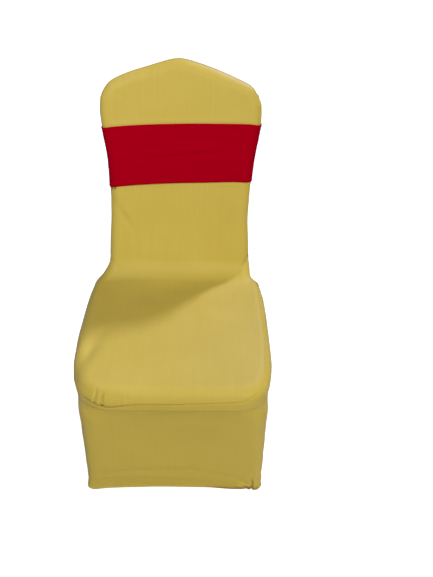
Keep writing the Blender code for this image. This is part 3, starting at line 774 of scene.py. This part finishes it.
# a is the distance round from the front's middle, b the distance down from the seam
SKIRT_FOLDS = (
    ("corner pleat", 184, 365, 187.2, 442, 2.6, -5.5, 0.1, 1),
    ("corner pleat lip 1", 176.5, 375, 181, 442, 3.6, 1.4, 0, 0.8),
    ("corner pleat lip 2", 191.5, 365, 193.5, 442, 3.4, 1.6, 0, 0.8),
    ("corner pucker 1", 148, 405, 181, 418.5, 3, -5.5, 0, 1),
    ("corner pucker 2", 125, 414, 178, 429, 2.2, -1.8, 0, 1),
    ("corner pucker 3", 145, 380, 180, 406, 3.8, -1.2, 0, 1),
    ("corner pucker lip", 148, 395, 178, 411, 3.2, 2.4, 0, 1),
    ("corner flap", 204.5, 320, 208.5, 425, 5, 4.8, 0, 0.3),
    ("corner flap edge", 213, 330, 217, 435, 3.2, -6, 0.1, 1),
    ("corner notch", 196, 287, 211, 283, 3.6, -1.6, 0.3, 1),
    ("hem sag 1", -160, 344, -70, 329, 9, -1.1, 0.6, 1),
    ("hem sag 2", -70, 329, 50, 333, 10, -1, 1, 1),
    ("hem sag 3", 50, 333, 156, 376, 10, -1.1, 1, 1),
    ("hem swell 1", -170, 370, -60, 358, 12, 0.8, 0.3, 1),
    ("hem swell 2", -60, 358, 130, 388, 11, 0.8, 1, 0.6),
    ("left hem dimple", -164, 386, -145, 372, 5, -2.4, 0.6, 0.4),
    ("left hem corner", -196.5, 390, -197.5, 448, 8, 4.5, 0, 1),
    ("left hem pull", -150, 380, -195, 430, 6, -1.2, 0, 1),
    ("left corner fall", -200, 120, -206, 400, 10, -0.8, 0.2, 0.6),
    ("left side pull 1", -290, 70, -330, 400, 15, -1, 0.3, 0.6),
    ("left side pull 2", -410, 70, -455, 390, 18, -1.2, 0.3, 0.8),
    ("right side pull 1", 300, 70, 330, 400, 15, -1, 0.3, 0.6),
    ("right side pull 2", 420, 70, 465, 390, 18, -1.2, 0.3, 0.8),
    ("right boxing hollow", 250, 12, 530, 12, 9, -3.2, 0.2, 0.3),
    ("front drawn in", -190, 190, 200, 190, 110, -6.5, 0, 0),
    ("right hem flare", 90, 440, 195, 440, 25, 2.8, 0.1, 1),
    ("left band fill", -197, 30, -199, 90, 17, 2.6, 0.5, 0),
    ("right band fill", 206, 30, 208, 90, 17, 2.6, 0.5, 0),
    ("left side sag", -260, 372, -510, 372, 11, -1, 0.4, 0.4),
    ("right side sag", 270, 372, 520, 372, 11, -1, 0.4, 0.4),
)
# a is across, b the height above the floor
BACK_FOLDS = (
    ("left foot pull", -215, 30, -130, 230, 14, -1.6, 1, 0),
    ("right foot pull", 215, 30, 125, 220, 14, -1.6, 1, 0),
    ("left foot pull 2", -210, 25, -70, 95, 9, -1.2, 1, 0),
    ("right foot pull 2", 210, 25, 75, 100, 9, -1.2, 1, 0),
    ("hem sag", -150, 60, 150, 60, 11, -1, 0.2, 0.2),
    ("left notch pull", -195, 430, -90, 330, 13, -1.8, 1, 0),
    ("right notch pull", 195, 430, 85, 325, 13, -1.8, 1, 0),
    ("left notch pull 2", -190, 445, -80, 465, 11, -1.2, 1, 0),
    ("right notch pull 2", 190, 445, 70, 470, 11, -1.2, 1, 0),
    ("waist fold", -120, 410, 110, 415, 12, -1.4, 0.2, 0.2),
    ("waist fold 2", -90, 380, 100, 372, 14, -1, 0.1, 0.1),
)
# On the front only: a is across, b the height above the floor
SASH_FOLDS = (
    ("stretch crease 1", -95, 748, 90, 762, 3, -1.1, 0, 0.2),
    ("stretch ridge 1", -90, 753, 135, 784, 4.2, 1.3, 0, 0),
    ("stretch crease 2", -20, 755, 150, 770, 3.2, -1, 0, 0),
    ("stretch crease 3", -60, 788, 140, 800, 4, -0.8, 0, 0),
    ("stretch ridge 3", -50, 780, 120, 792, 4, 0.6, 0, 0),
    ("stretch crease 4", -120, 715, 60, 718, 5, -0.4, 0, 0),
    ("right upright", 169, 730, 170, 800, 2.6, -0.6, 0.1, 0.1),
    ("left lower gather", -159, 702, -160, 678, 2.2, -0.9, 0, 1),
    ("left lower gather 2", -165, 695, -166.5, 676, 1.8, -0.6, 0, 1),
)
# As SKIRT_FOLDS, with the strength in thousandths for a height, of a dark brown mixed into the
# skirt's colour: darker along the hem's fold at the right front and at the left corner, and
# painted shade along the corner flap's edge and in the pucker
PAINTED_SHADE = (
    ("right hem fold", 50, 429, 195, 429, 8.5, 850, 0.1, 1),
    ("left hem corner", -200, 429, -170, 429, 3.4, 500, 1, 0.2),
    ("flap edge", 210, 355, 213, 429, 4, 900, 0.2, 1),
    ("pucker", 162, 416, 181, 423, 2.2, 500, 0, 1),
)
HEM_LEVELS = (
    # where round the hem, its reach, and how much lower the hem hangs there
    (-0.1850, 0.0200, 0.0042),
    (-0.1150, 0.0350, -0.0012),
    (0.1250, 0.0450, 0.0045),
)
HEM_LEVEL_FADE = 0.040
COVER_WAVES = (
    # length   degrees  phase   height
    (0.1370, 17.0, 0.4, 0.00026),
    (0.0910, 118.0, 2.1, 0.00018),
    (0.0630, 71.0, 4.0, 0.00010),
    (0.0440, 160.0, 1.2, 0.00006),
)
# The outside back takes its unevenness from further along the same waves
BACK_WAVE_SHIFT = 0.4
ABOVE_WAIST = (0.52, 0.58)
SASH_WAVES = (
    (0.0900, 84.0, 0.9, 0.00016),
    (0.0340, 80.0, 2.6, 0.00008),
    (0.0210, 97.0, 0.3, 0.00004),
)
SASH_SEAM = 0.0007
SASH_SEAM_WIDTH = 0.0014
PUCKER_LENGTH = 0.0085
PUCKER_REACH = 0.0160
PUCKER_HEIGHT = 0.0003
SASH_EDGE_LIP = 0.0004
SASH_LIP_PLACE = (0.003, 0.002)
# Where the sash's back half is said to be, so that no fold of the front reaches it
FAR_FROM_FOLDS = 9.0


def join(first, first_edge, second, second_edge):
    """Gives two cloths the same outward direction along the edge that they share."""
    shared = unit(first[first_edge] + second[second_edge])
    first[first_edge] = shared
    second[second_edge] = shared


# ------------------------------------------------------------------ into Blender
def squares(grid):
    """The values at the four corners of each square of a grid, going round columns first."""
    return np.stack([grid[:-1, :-1], grid[:-1, 1:], grid[1:, 1:], grid[1:, :-1]], 2)


def lattice_faces(rows, columns, closed):
    """Quads between the points of a grid, which may close on itself round its rows."""
    index = np.arange(rows * columns).reshape(rows, columns)
    return squares(np.hstack([index, index[:, :1]]) if closed else index).reshape(-1, 4)


def mesh_object(name, points, faces, material, uv=None, painted_shade=None):
    """A smooth mesh object at the origin, from points that stand on the floor. The last argument
    is how much painted shade each point takes, from 0 to 1: a dark brown mixed into its colour."""
    mesh = bpy.data.meshes.new(name)
    mesh.vertices.add(len(points))
    mesh.vertices.foreach_set("co", (points - ORIGIN).ravel())
    mesh.loops.add(faces.size)
    mesh.loops.foreach_set("vertex_index", faces.ravel())
    mesh.polygons.add(len(faces))
    mesh.polygons.foreach_set("loop_start", np.arange(0, faces.size, faces.shape[1]))
    mesh.update(calc_edges=True)
    if uv is not None:
        mesh.uv_layers.new(name="cut").data.foreach_set("uv", uv.ravel())
    if painted_shade is not None:
        mesh.attributes.new("painted_shade", "FLOAT", "POINT").data.foreach_set("value", painted_shade.ravel())
    mesh.shade_smooth()
    mesh.materials.append(material)
    item = bpy.data.objects.new(name, mesh)
    bpy.context.scene.collection.objects.link(item)
    return item


def cloth_object(name, grid, places, thickness, material, closed=False, offset=-1.0, painted_shade=None):
    """A cloth: the grid as a surface with its places in the flat cut as the UV map, in metres,
    given its thickness by Solidify. places has one column more than a closed grid."""
    faces = lattice_faces(*grid.shape[:2], closed)
    item = mesh_object(name, grid.reshape(-1, 3), faces, material, squares(places), painted_shade)
    solid = item.modifiers.new("thickness", "SOLIDIFY")
    solid.thickness = thickness
    solid.offset = offset
    return item


STITCH_PITCH = 0.0042
STITCH_LENGTH = 0.0033
STITCH_RADIUS = 0.00038
STITCH_RINGS = np.array([0.0, 0.12, 0.5, 0.88, 1.0])
STITCH_POINTED = 0.04
STITCH_SIDES = 6


def full_turn(steps):
    return np.arange(steps) * 2 * math.pi / steps


def rings_round(centres, out, side, radius, sides):
    """Rings of points round their centres, in the planes of the directions out and side."""
    turn = full_turn(sides)[:, None]
    spokes = out[..., None, :] * np.cos(turn) + side[..., None, :] * np.sin(turn)
    return centres[..., None, :] + radius[..., None, None] * spokes


def stitches(name, line, outward, material):
    """Short threads end to end along a line on the cloth: each is a tube that swells in its
    middle and closes at its ends. outward is the cloth's direction at each point of the line."""
    known = lengths_along(line)
    count = int(known[-1] / STITCH_PITCH)
    centre = (np.arange(count) + 0.5) * known[-1] / count
    half = STITCH_LENGTH / 2
    run = unit(points_at(known, line, centre + half) - points_at(known, line, centre - half))
    out = unit(points_at(known, outward, centre))
    side = unit(np.cross(out, run))
    rings = np.clip(STITCH_RINGS, STITCH_POINTED, 1 - STITCH_POINTED)
    swell = np.sqrt(np.sin(math.pi * rings)) * STITCH_RADIUS
    axis = (STITCH_RINGS - 0.5)[:, None] * STITCH_LENGTH
    centres = points_at(known, line, centre)[:, None] + run[:, None] * axis
    points = rings_round(centres, out[:, None], side[:, None], swell, STITCH_SIDES)
    one = lattice_faces(len(STITCH_RINGS), STITCH_SIDES, True)[:, ::-1]
    step = len(STITCH_RINGS) * STITCH_SIDES
    faces = (one + (np.arange(count) * step)[:, None, None]).reshape(-1, 4)
    return mesh_object(name, points.reshape(-1, 3), faces, material)


THREAD_RADIUS = 0.0009
THREAD_SIDES = 8
THREAD_RINGS = 24
THREAD_POINTED = 0.03
THREAD_TAPER = 4
THREAD_ASIDE = (0.0, -1.0, 0.1)


def thread(name, line, material):
    """A thread along a smooth line, thinning to a point at both ends."""
    steps = np.linspace(0, len(line) - 1, THREAD_RINGS)
    path = monotone(np.arange(len(line)), line, steps)
    run = unit(np.gradient(path, axis=0))
    side = unit(np.cross(run, THREAD_ASIDE))
    share = np.linspace(THREAD_POINTED, 1 - THREAD_POINTED, THREAD_RINGS)
    size = THREAD_RADIUS * np.clip(np.sin(math.pi * share) * THREAD_TAPER, 0, 1)
    points = rings_round(path, np.cross(side, run), side, size, THREAD_SIDES)
    faces = lattice_faces(THREAD_RINGS, THREAD_SIDES, True)[:, ::-1]
    return mesh_object(name, points.reshape(-1, 3), faces, material)


POCKET_TURNS = 96
POCKET_GATHERS = 11
POCKET_GATHER = 0.0004
POCKET_TWIST = 1.7
POCKET_HOLE = 0.0004
POCKET_CLOTH = 0.8 * CLOTH
POCKET_STEPS = (8, 10, 12)


def foot_pocket(name, x, y, floor, height, material):
    """A cup of knit with a flat floor and a rounded corner, turned round its upright axis. Its
    wall is drawn into small upright gathers that grow towards the rim."""
    inner = POCKET_RADIUS - POCKET_CORNER
    on_floor, in_bend, on_wall = POCKET_STEPS
    bend = arc(inner, POCKET_CORNER, POCKET_CORNER, -90, 0, in_bend)
    levels = np.linspace(POCKET_CORNER, height, on_wall + 1)[1:]
    wall = np.stack([np.full(on_wall, POCKET_RADIUS), levels], 1)
    radii = np.linspace(POCKET_HOLE, inner, on_floor + 1)[:-1]
    outline = np.concatenate([np.stack([radii, np.zeros(on_floor)], 1), bend, wall])
    turn = full_turn(POCKET_TURNS)
    rise = (outline[:, 1] / height)[:, None]
    gathers = np.sin(POCKET_GATHERS * turn + POCKET_TWIST * rise)
    radius = outline[:, :1] + POCKET_GATHER * rise * gathers
    level = np.broadcast_to(outline[:, 1:], radius.shape)
    grid = np.stack([x + radius * np.cos(turn), y + radius * np.sin(turn), floor + level], -1)
    round_cup = POCKET_RADIUS * np.linspace(0, 2 * math.pi, POCKET_TURNS + 1)
    places = np.stack(np.meshgrid(round_cup, lengths_along(outline)), -1)
    return cloth_object(name, grid, places, POCKET_CLOTH, material, closed=True)


# ------------------------------------------------------------------ materials
def linear(colour):
    """Linear RGB of an sRGB hex colour."""
    value = np.array([int(colour[i:i + 2], 16) for i in (1, 3, 5)]) / 255
    return (*np.where(value <= 0.04045, value / 12.92, ((value + 0.055) / 1.055) ** 2.4), 1.0)


def add(tree, kind, out, inputs, **settings):
    """Adds a shader node and returns its output named out. inputs holds, for each input, its
    value or the socket that feeds it; settings are the node's own properties."""
    node = tree.nodes.new("ShaderNode" + kind)
    for name, value in settings.items():
        setattr(node, name, value)
    for name, value in inputs.items():
        if isinstance(value, bpy.types.NodeSocket):
            tree.links.new(value, node.inputs[name])
        else:
            node.inputs[name].default_value = value
    return node.outputs[out]


def shading(name, colour, roughness, specular):
    """A new material, its node tree and its Principled shader."""
    material = bpy.data.materials.new(name)
    material.use_nodes = True
    shader = material.node_tree.nodes["Principled BSDF"]
    shader.inputs["Base Color"].default_value = linear(colour)
    shader.inputs["Roughness"].default_value = roughness
    shader.inputs["Specular IOR Level"].default_value = specular
    return material, material.node_tree, shader


WAVE_OF_ONE_METRE = math.pi / 10
LOOPS = (
    # direction, width of a loop, unevenness
    ("X", 0.0011, 0.5),
    ("Y", 0.0013, 0.7),
)
LOOP_SHADE = {"To Min": 0.93, "To Max": 1.02}
FUZZ_SCALE = 1100.0
FUZZ_HEIGHT = 0.35
BUMP = {"Strength": 0.45, "Distance": 0.0002}
STREAK_SCALE = (150.0, 5.0, 1.0)
CLOUD_SCALE = 13.0
DRIFT_RANGE = {"From Min": 0.65, "From Max": 1.35}
# A dark brown that paints shade into the skirt's creases and folds
PAINTED_SHADE_COLOUR = "#5A3A0C"


def knit_material(name, light, dark, roughness, specular):
    """Warp knit: fine upright columns of loops (wales) crossed by courses, with a little fuzz.
    Real loops are about 0.5 mm wide; they are drawn at twice that so that a close view shows
    them. The two tones, a shade apart, drift in faint upright streaks and soft clouds, as the
    yarn's tension does. light and dark are the tones. Where a cloth's points carry painted
    shade, the yarn's colour is mixed towards a dark brown."""
    material, tree, shader = shading(name, light, roughness, specular)
    cut = add(tree, "UVMap", "UV", {}, uv_map="cut")
    columns, rows = [
        add(tree, "TexWave", "Fac", {"Scale": WAVE_OF_ONE_METRE / width, "Detail": 1.0,
                                     "Distortion": unevenness, "Vector": cut},
            wave_type="BANDS", bands_direction=direction)
        for direction, width, unevenness in LOOPS
    ]
    loops = add(tree, "Math", "Value", {0: columns, 1: rows}, operation="MULTIPLY")
    fuzz = add(tree, "TexNoise", "Fac", {"Scale": FUZZ_SCALE, "Detail": 2.0, "Vector": cut})
    height = add(tree, "Math", "Value", {0: fuzz, 1: FUZZ_HEIGHT, 2: loops},
                 operation="MULTIPLY_ADD")
    bump = add(tree, "Bump", "Normal", {**BUMP, "Height": height})
    drawn_out = add(tree, "Mapping", "Vector", {"Scale": STREAK_SCALE, "Vector": cut})
    streaks = add(tree, "TexNoise", "Fac", {"Scale": 1.0, "Detail": 2.0, "Vector": drawn_out})
    clouds = add(tree, "TexNoise", "Fac", {"Scale": CLOUD_SCALE, "Detail": 3.0, "Vector": cut})
    drift = add(tree, "Math", "Value", {0: streaks, 1: clouds}, operation="ADD")
    spread = add(tree, "MapRange", "Result", {**DRIFT_RANGE, "Value": drift})
    tone = add(tree, "Mix", "Result", {"A": linear(dark), "B": linear(light), "Factor": spread},
               data_type="RGBA")
    between = add(tree, "MapRange", "Result", {**LOOP_SHADE, "Value": loops})
    yarn = add(tree, "HueSaturation", "Color", {"Color": tone, "Value": between})
    # Painted shade: the yarn is mixed towards a dark brown where the cloth's points carry it
    painted_shade = add(tree, "Attribute", "Fac", {}, attribute_name="painted_shade")
    shaded_yarn = add(tree, "Mix", "Result", {"A": yarn, "B": linear(PAINTED_SHADE_COLOUR), "Factor": painted_shade},
                 data_type="RGBA")
    tree.links.new(shaded_yarn, shader.inputs["Base Color"])
    tree.links.new(bump, shader.inputs["Normal"])
    return material


FLOOR_GLOW = 0.88


def white_floor():
    """Matt white floor paint, lit as evenly as a photographer's white sweep: the camera sees it
    glow, so only a faint shade shows on it. It throws back as much light on the cover as a pale
    grey floor would, so that the skirt keeps its own shade."""
    material, tree, shader = shading("matt_white_floor_paint", "#A8A8A8", roughness=0.9,
                                     specular=0.0)
    shader.inputs["Emission Color"].default_value = linear("#FFFFFF")
    seen = add(tree, "LightPath", "Is Camera Ray", {})
    glow = add(tree, "Math", "Value", {0: seen, 1: FLOOR_GLOW}, operation="MULTIPLY")
    tree.links.new(glow, shader.inputs["Emission Strength"])
    return material


# Yellow-gold yarn with a soft, low gleam
gold_knit = knit_material("gold_warp_knit", "#B29B3D", "#AE9739", roughness=0.50,
                          specular=0.12)
# The same yarn on the foot pocket, worn pale by the floor
worn_knit = knit_material("gold_warp_knit_worn", "#CDC29F", "#C0B48E", roughness=0.70,
                          specular=0.20)
# Deep red yarn, matt, that lets no green or yellow through
red_knit = knit_material("red_warp_knit", "#930012", "#8D0010", roughness=0.75, specular=0.0)
gold_thread = shading("gold_sewing_thread", "#B09A45", roughness=0.45, specular=0.4)[0]
red_thread = shading("red_sewing_thread", "#3C0006", roughness=0.6, specular=0.2)[0]


# ------------------------------------------------------------------ shape every cloth
front_grid, front_flat = front_panel()
skirt_grid, skirt_places = skirt(front_grid)
back_grid = outside_back(front_grid, skirt_grid)
sash_grid = sash_band()

# The hem hangs a little lower towards its front corners
low_down = smooth_step(0, HEM_LEVEL_FADE, HEM_LEVEL_FADE - lengths_along(skirt_grid[::-1])[::-1])
for centre, reach, lower in HEM_LEVELS:
    skirt_grid[..., 2] -= lower * bell(skirt_places[..., 0], centre, reach) * low_down

front_out = normals(front_grid)
skirt_out = -normals(skirt_grid)
back_out = -normals(back_grid)
sash_out = normals(sash_grid, closed=True)
FRONT_LEFT, FRONT_RIGHT = SEAT_STEPS, SEAT_STEPS + ACROSS + 1
join(front_out, np.s_[0], skirt_out, np.s_[0, FRONT_LEFT:FRONT_RIGHT])
for column, skirt_edge, rows in (
    (0, np.s_[0, :FRONT_LEFT], np.s_[SEAT_STEPS:0:-1]),
    (-1, np.s_[0, FRONT_RIGHT:], np.s_[1:SEAT_STEPS + 1]),
):
    join(front_out, (rows, column), skirt_out, skirt_edge)
    join(back_out, np.s_[:SKIRT_STEPS + 1, column], skirt_out, np.s_[::-1, column])
    join(back_out, np.s_[SKIRT_STEPS + 1:, column], front_out, np.s_[SEAT_STEPS + 1:, column])
join(back_out, np.s_[-1], front_out, np.s_[-1])

front_edge = edge_distance(front_grid)
skirt_edge = edge_distance(skirt_grid, last_row=False)
back_edge = edge_distance(back_grid, first_row=False)
skirt_hem = lengths_along(skirt_grid[::-1])[::-1]
back_hem = lengths_along(back_grid)

across, along = front_flat[..., 0], front_flat[..., 1]
front_height = (
    relief(FRONT_FOLDS, across, along, front_edge)
    + under_sash(across, front_grid[..., 2]) * on_back(along)
    - seam_sink(front_edge)
)
round_skirt, down_skirt = skirt_places[..., 0], skirt_places[..., 1]
skirt_height = (
    relief(SKIRT_FOLDS, round_skirt, down_skirt, skirt_edge)
    + hem_relief(skirt_hem)
    - seam_sink(skirt_edge)
)
# Painted shade in the skirt's creases, hem fold and flap edge, from its table, as a share from 0
# to 1
skirt_painted_shade = np.clip(folds(PAINTED_SHADE, round_skirt, down_skirt), 0, 1)
across, height = back_grid[..., 0], back_grid[..., 2]
back_height = (
    relief(BACK_FOLDS, across, height, back_edge, BACK_WAVE_SHIFT)
    + under_sash(across, height) * smooth_step(*ABOVE_WAIST, height)
    + hem_relief(back_hem)
    - seam_sink(back_edge)
)
front_grid += front_out * front_height[..., None]
skirt_grid += skirt_out * skirt_height[..., None]
back_grid += back_out * back_height[..., None]

closed_sash = np.concatenate([sash_grid, sash_grid[:, :1]], 1)
sash_round, sash_up = lengths_across(closed_sash), lengths_along(closed_sash)
across, height = sash_grid[..., 0], sash_grid[..., 2]
across_front = np.where(sash_out[..., 1] < 0, across, FAR_FROM_FOLDS)
from_seam = np.minimum(sash_round, sash_round[:, -1:] - sash_round)[:, :-1]
up = sash_up[:, :-1]
from_edge = np.minimum(up, up[-1] - up)
puckers = np.sin(2 * math.pi * up / PUCKER_LENGTH) * bell(from_seam, 0, PUCKER_REACH)
sash_height = (
    folds(SASH_FOLDS, across_front, height)
    + ripple(across, height, SASH_WAVES) * smooth_step(0, SEAM_PULL_REACH, from_edge)
    - SASH_SEAM * bell(from_seam, 0, SASH_SEAM_WIDTH)
    + PUCKER_HEIGHT * puckers
    + SASH_EDGE_LIP * bell(from_edge, *SASH_LIP_PLACE)
)
sash_grid += sash_out * sash_height[..., None]

back_places = np.stack([back_grid[..., 0], back_hem], -1)
front_cloth = cloth_object("front_cloth", front_grid, front_flat, CLOTH, gold_knit)
skirt_cloth = cloth_object("skirt_cloth", skirt_grid[::-1], skirt_places[::-1], CLOTH, gold_knit,
                           painted_shade=skirt_painted_shade[::-1])
back_cloth = cloth_object("back_cloth", back_grid[:, ::-1], back_places[:, ::-1], CLOTH, gold_knit)
sash_cloth = cloth_object("sash_cloth", sash_grid, np.stack([sash_up, sash_round], -1), SASH_CLOTH,
                          red_knit, closed=True, offset=1.0)
pockets = [
    foot_pocket(f"pocket_cloth_{foot}", *where, worn_knit if foot == "front_right" else gold_knit)
    for foot, where in FEET.items()
]


def line_above_hem(grid, outward, hem):
    """The points of a cloth that lie STITCH_LINE above its hem, and the outward direction."""
    rows = np.array([np.interp(STITCH_LINE, hem[:, column], np.arange(len(hem)))
                     for column in range(hem.shape[1])])
    low = rows.astype(int)
    part = (rows - low)[:, None]
    columns = np.arange(hem.shape[1])
    points = grid[low, columns] * (1 - part) + grid[low + 1, columns] * part
    return points, outward[low, columns]


skirt_stitches = stitches("skirt_hem_stitching", *line_above_hem(
    skirt_grid[::-1], skirt_out[::-1], skirt_hem[::-1]), gold_thread)
back_stitches = stitches("back_hem_stitching", *line_above_hem(
    back_grid, back_out, back_hem), gold_thread)

THREAD_ENDS = {
    "sash_thread_end_1": (
        (-0.1590, 0.4610, 0.6830), (-0.1588, 0.4590, 0.6785), (-0.1560, 0.4600, 0.6750)),
    "sash_thread_end_2": (
        (-0.1640, 0.4615, 0.6820), (-0.1655, 0.4590, 0.6775), (-0.1650, 0.4610, 0.6730)),
}
threads = [thread(name, line, red_thread) for name, line in THREAD_ENDS.items()]

# ------------------------------------------------------------------ what goes with what
for piece, node, slot in (
    (front_cloth, "front_panel", "cover_knit"),
    (skirt_cloth, "skirt", "cover_knit"),
    (back_cloth, "outside_back", "cover_knit"),
    (sash_cloth, "sash_band", "sash_knit"),
    *((pocket, f"foot_pocket_{foot}", "cover_knit") for foot, pocket in zip(FEET, pockets)),
):
    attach(piece, "root")
    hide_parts(node)
for piece, slot in ((skirt_stitches, "cover_knit"), (back_stitches, "cover_knit"),
                    (threads[0], "sash_knit"), (threads[1], "sash_knit")):
    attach(piece, "root")

# ------------------------------------------------------------------ stage, light and camera
FLOOR_DROP = 0.0002
FLOOR_REACH = 60.0
corners = FLOOR_REACH * np.array([(-1.0, -1.0, 0.0), (1.0, -1.0, 0.0), (1.0, 1.0, 0.0),
                                  (-1.0, 1.0, 0.0)])
corners[:, 2] = CAD_BOX[0][2] - FLOOR_DROP
floor = mesh_object("floor", corners + ORIGIN, np.array([[0, 1, 2, 3]]), white_floor())


def turn_to(item, right, up, back):
    """Turns an object so that its own X, Y and Z point in these directions."""
    item.matrix_world = Matrix(np.column_stack([right, up, back]).tolist()).to_4x4()
    bpy.context.scene.collection.objects.link(item)


def direction(azimuth, height):
    """The way from here to a place in the sky. Angles are in degrees: azimuth from +Y towards
    +X, height above the floor."""
    turn, rise = math.radians(azimuth), math.radians(height)
    return np.array([math.sin(turn) * math.cos(rise), math.cos(turn) * math.cos(rise),
                     math.sin(rise)])


def lamp(name, kind, strength, colour, towards, **settings):
    """Adds a lamp whose light comes from the direction towards."""
    data = bpy.data.lights.new(name, kind)
    data.energy, data.color = strength, colour
    for setting, value in settings.items():
        setattr(data, setting, value)
    item = bpy.data.objects.new(name, data)
    back = unit(towards)
    side = unit(np.cross([0.0, 0.0, 1.0], back))
    turn_to(item, side, np.cross(back, side), back)
    return item


# A bluish sun behind the chair's right shoulder, whose shade of the back falls on the seat; a
# wide, nearly neutral light from the front; and a broad soft box at the left, a little bluer
# than the sun, which faces the chair's middle and shows as a cool gleam on the seat and crown
lamp("key_light", "SUN", 2.25, (1.0, 1.04, 1.8), direction(37.5, 46.5), angle=math.radians(6))
lamp("front_light", "SUN", 3.3, (1.0, 1.0, 1.05), direction(163, 32), angle=math.radians(50))
CHAIR_MIDDLE = (0.0, 0.30, 0.55)
SOFT_BOX = (-0.70, 0.05, 1.75)
left_lamp = lamp("left_lamp", "AREA", 6.5, (1.0, 1.08, 2.0), np.subtract(SOFT_BOX, CHAIR_MIDDLE),
                 size=0.60)
left_lamp.location = np.subtract(SOFT_BOX, ORIGIN)
left_lamp.visible_camera = False

AMBIENT = 0.06
world = bpy.data.worlds.new("studio")
world.use_nodes = True
bpy.context.scene.world = world
background = world.node_tree.nodes["Background"]
background.inputs["Color"].default_value = (1.0, 1.0, 1.0, 1.0)
camera_ray = add(world.node_tree, "LightPath", "Is Camera Ray", {})
sky = add(world.node_tree, "MapRange", "Result",
          {"To Min": AMBIENT, "To Max": 1.0, "Value": camera_ray})
world.node_tree.links.new(sky, background.inputs["Strength"])

# The camera, solved from the cover's outline in the photo
PITCH, YAW, ROLL = 37.859, 3.347, 3.208
EYE = np.array((0.0481, -0.5302, 1.1403)) - ORIGIN
LENS, SENSOR = 26.67, 36.0
FARTHEST_SEEN = 200.0
forward = direction(YAW, -PITCH)
level_right = direction(YAW + 90, 0)
level_up = np.cross(level_right, forward)
roll = math.radians(ROLL)
camera_data = bpy.data.cameras.new("camera")
camera_data.lens, camera_data.sensor_width = LENS, SENSOR
camera_data.clip_end = FARTHEST_SEEN
camera = bpy.data.objects.new("camera", camera_data)
turn_to(camera, math.cos(roll) * level_right + math.sin(roll) * level_up,
        math.cos(roll) * level_up - math.sin(roll) * level_right, -forward)
camera.location = EYE
bpy.context.scene.camera = camera
bpy.context.scene.view_settings.view_transform = "Standard"
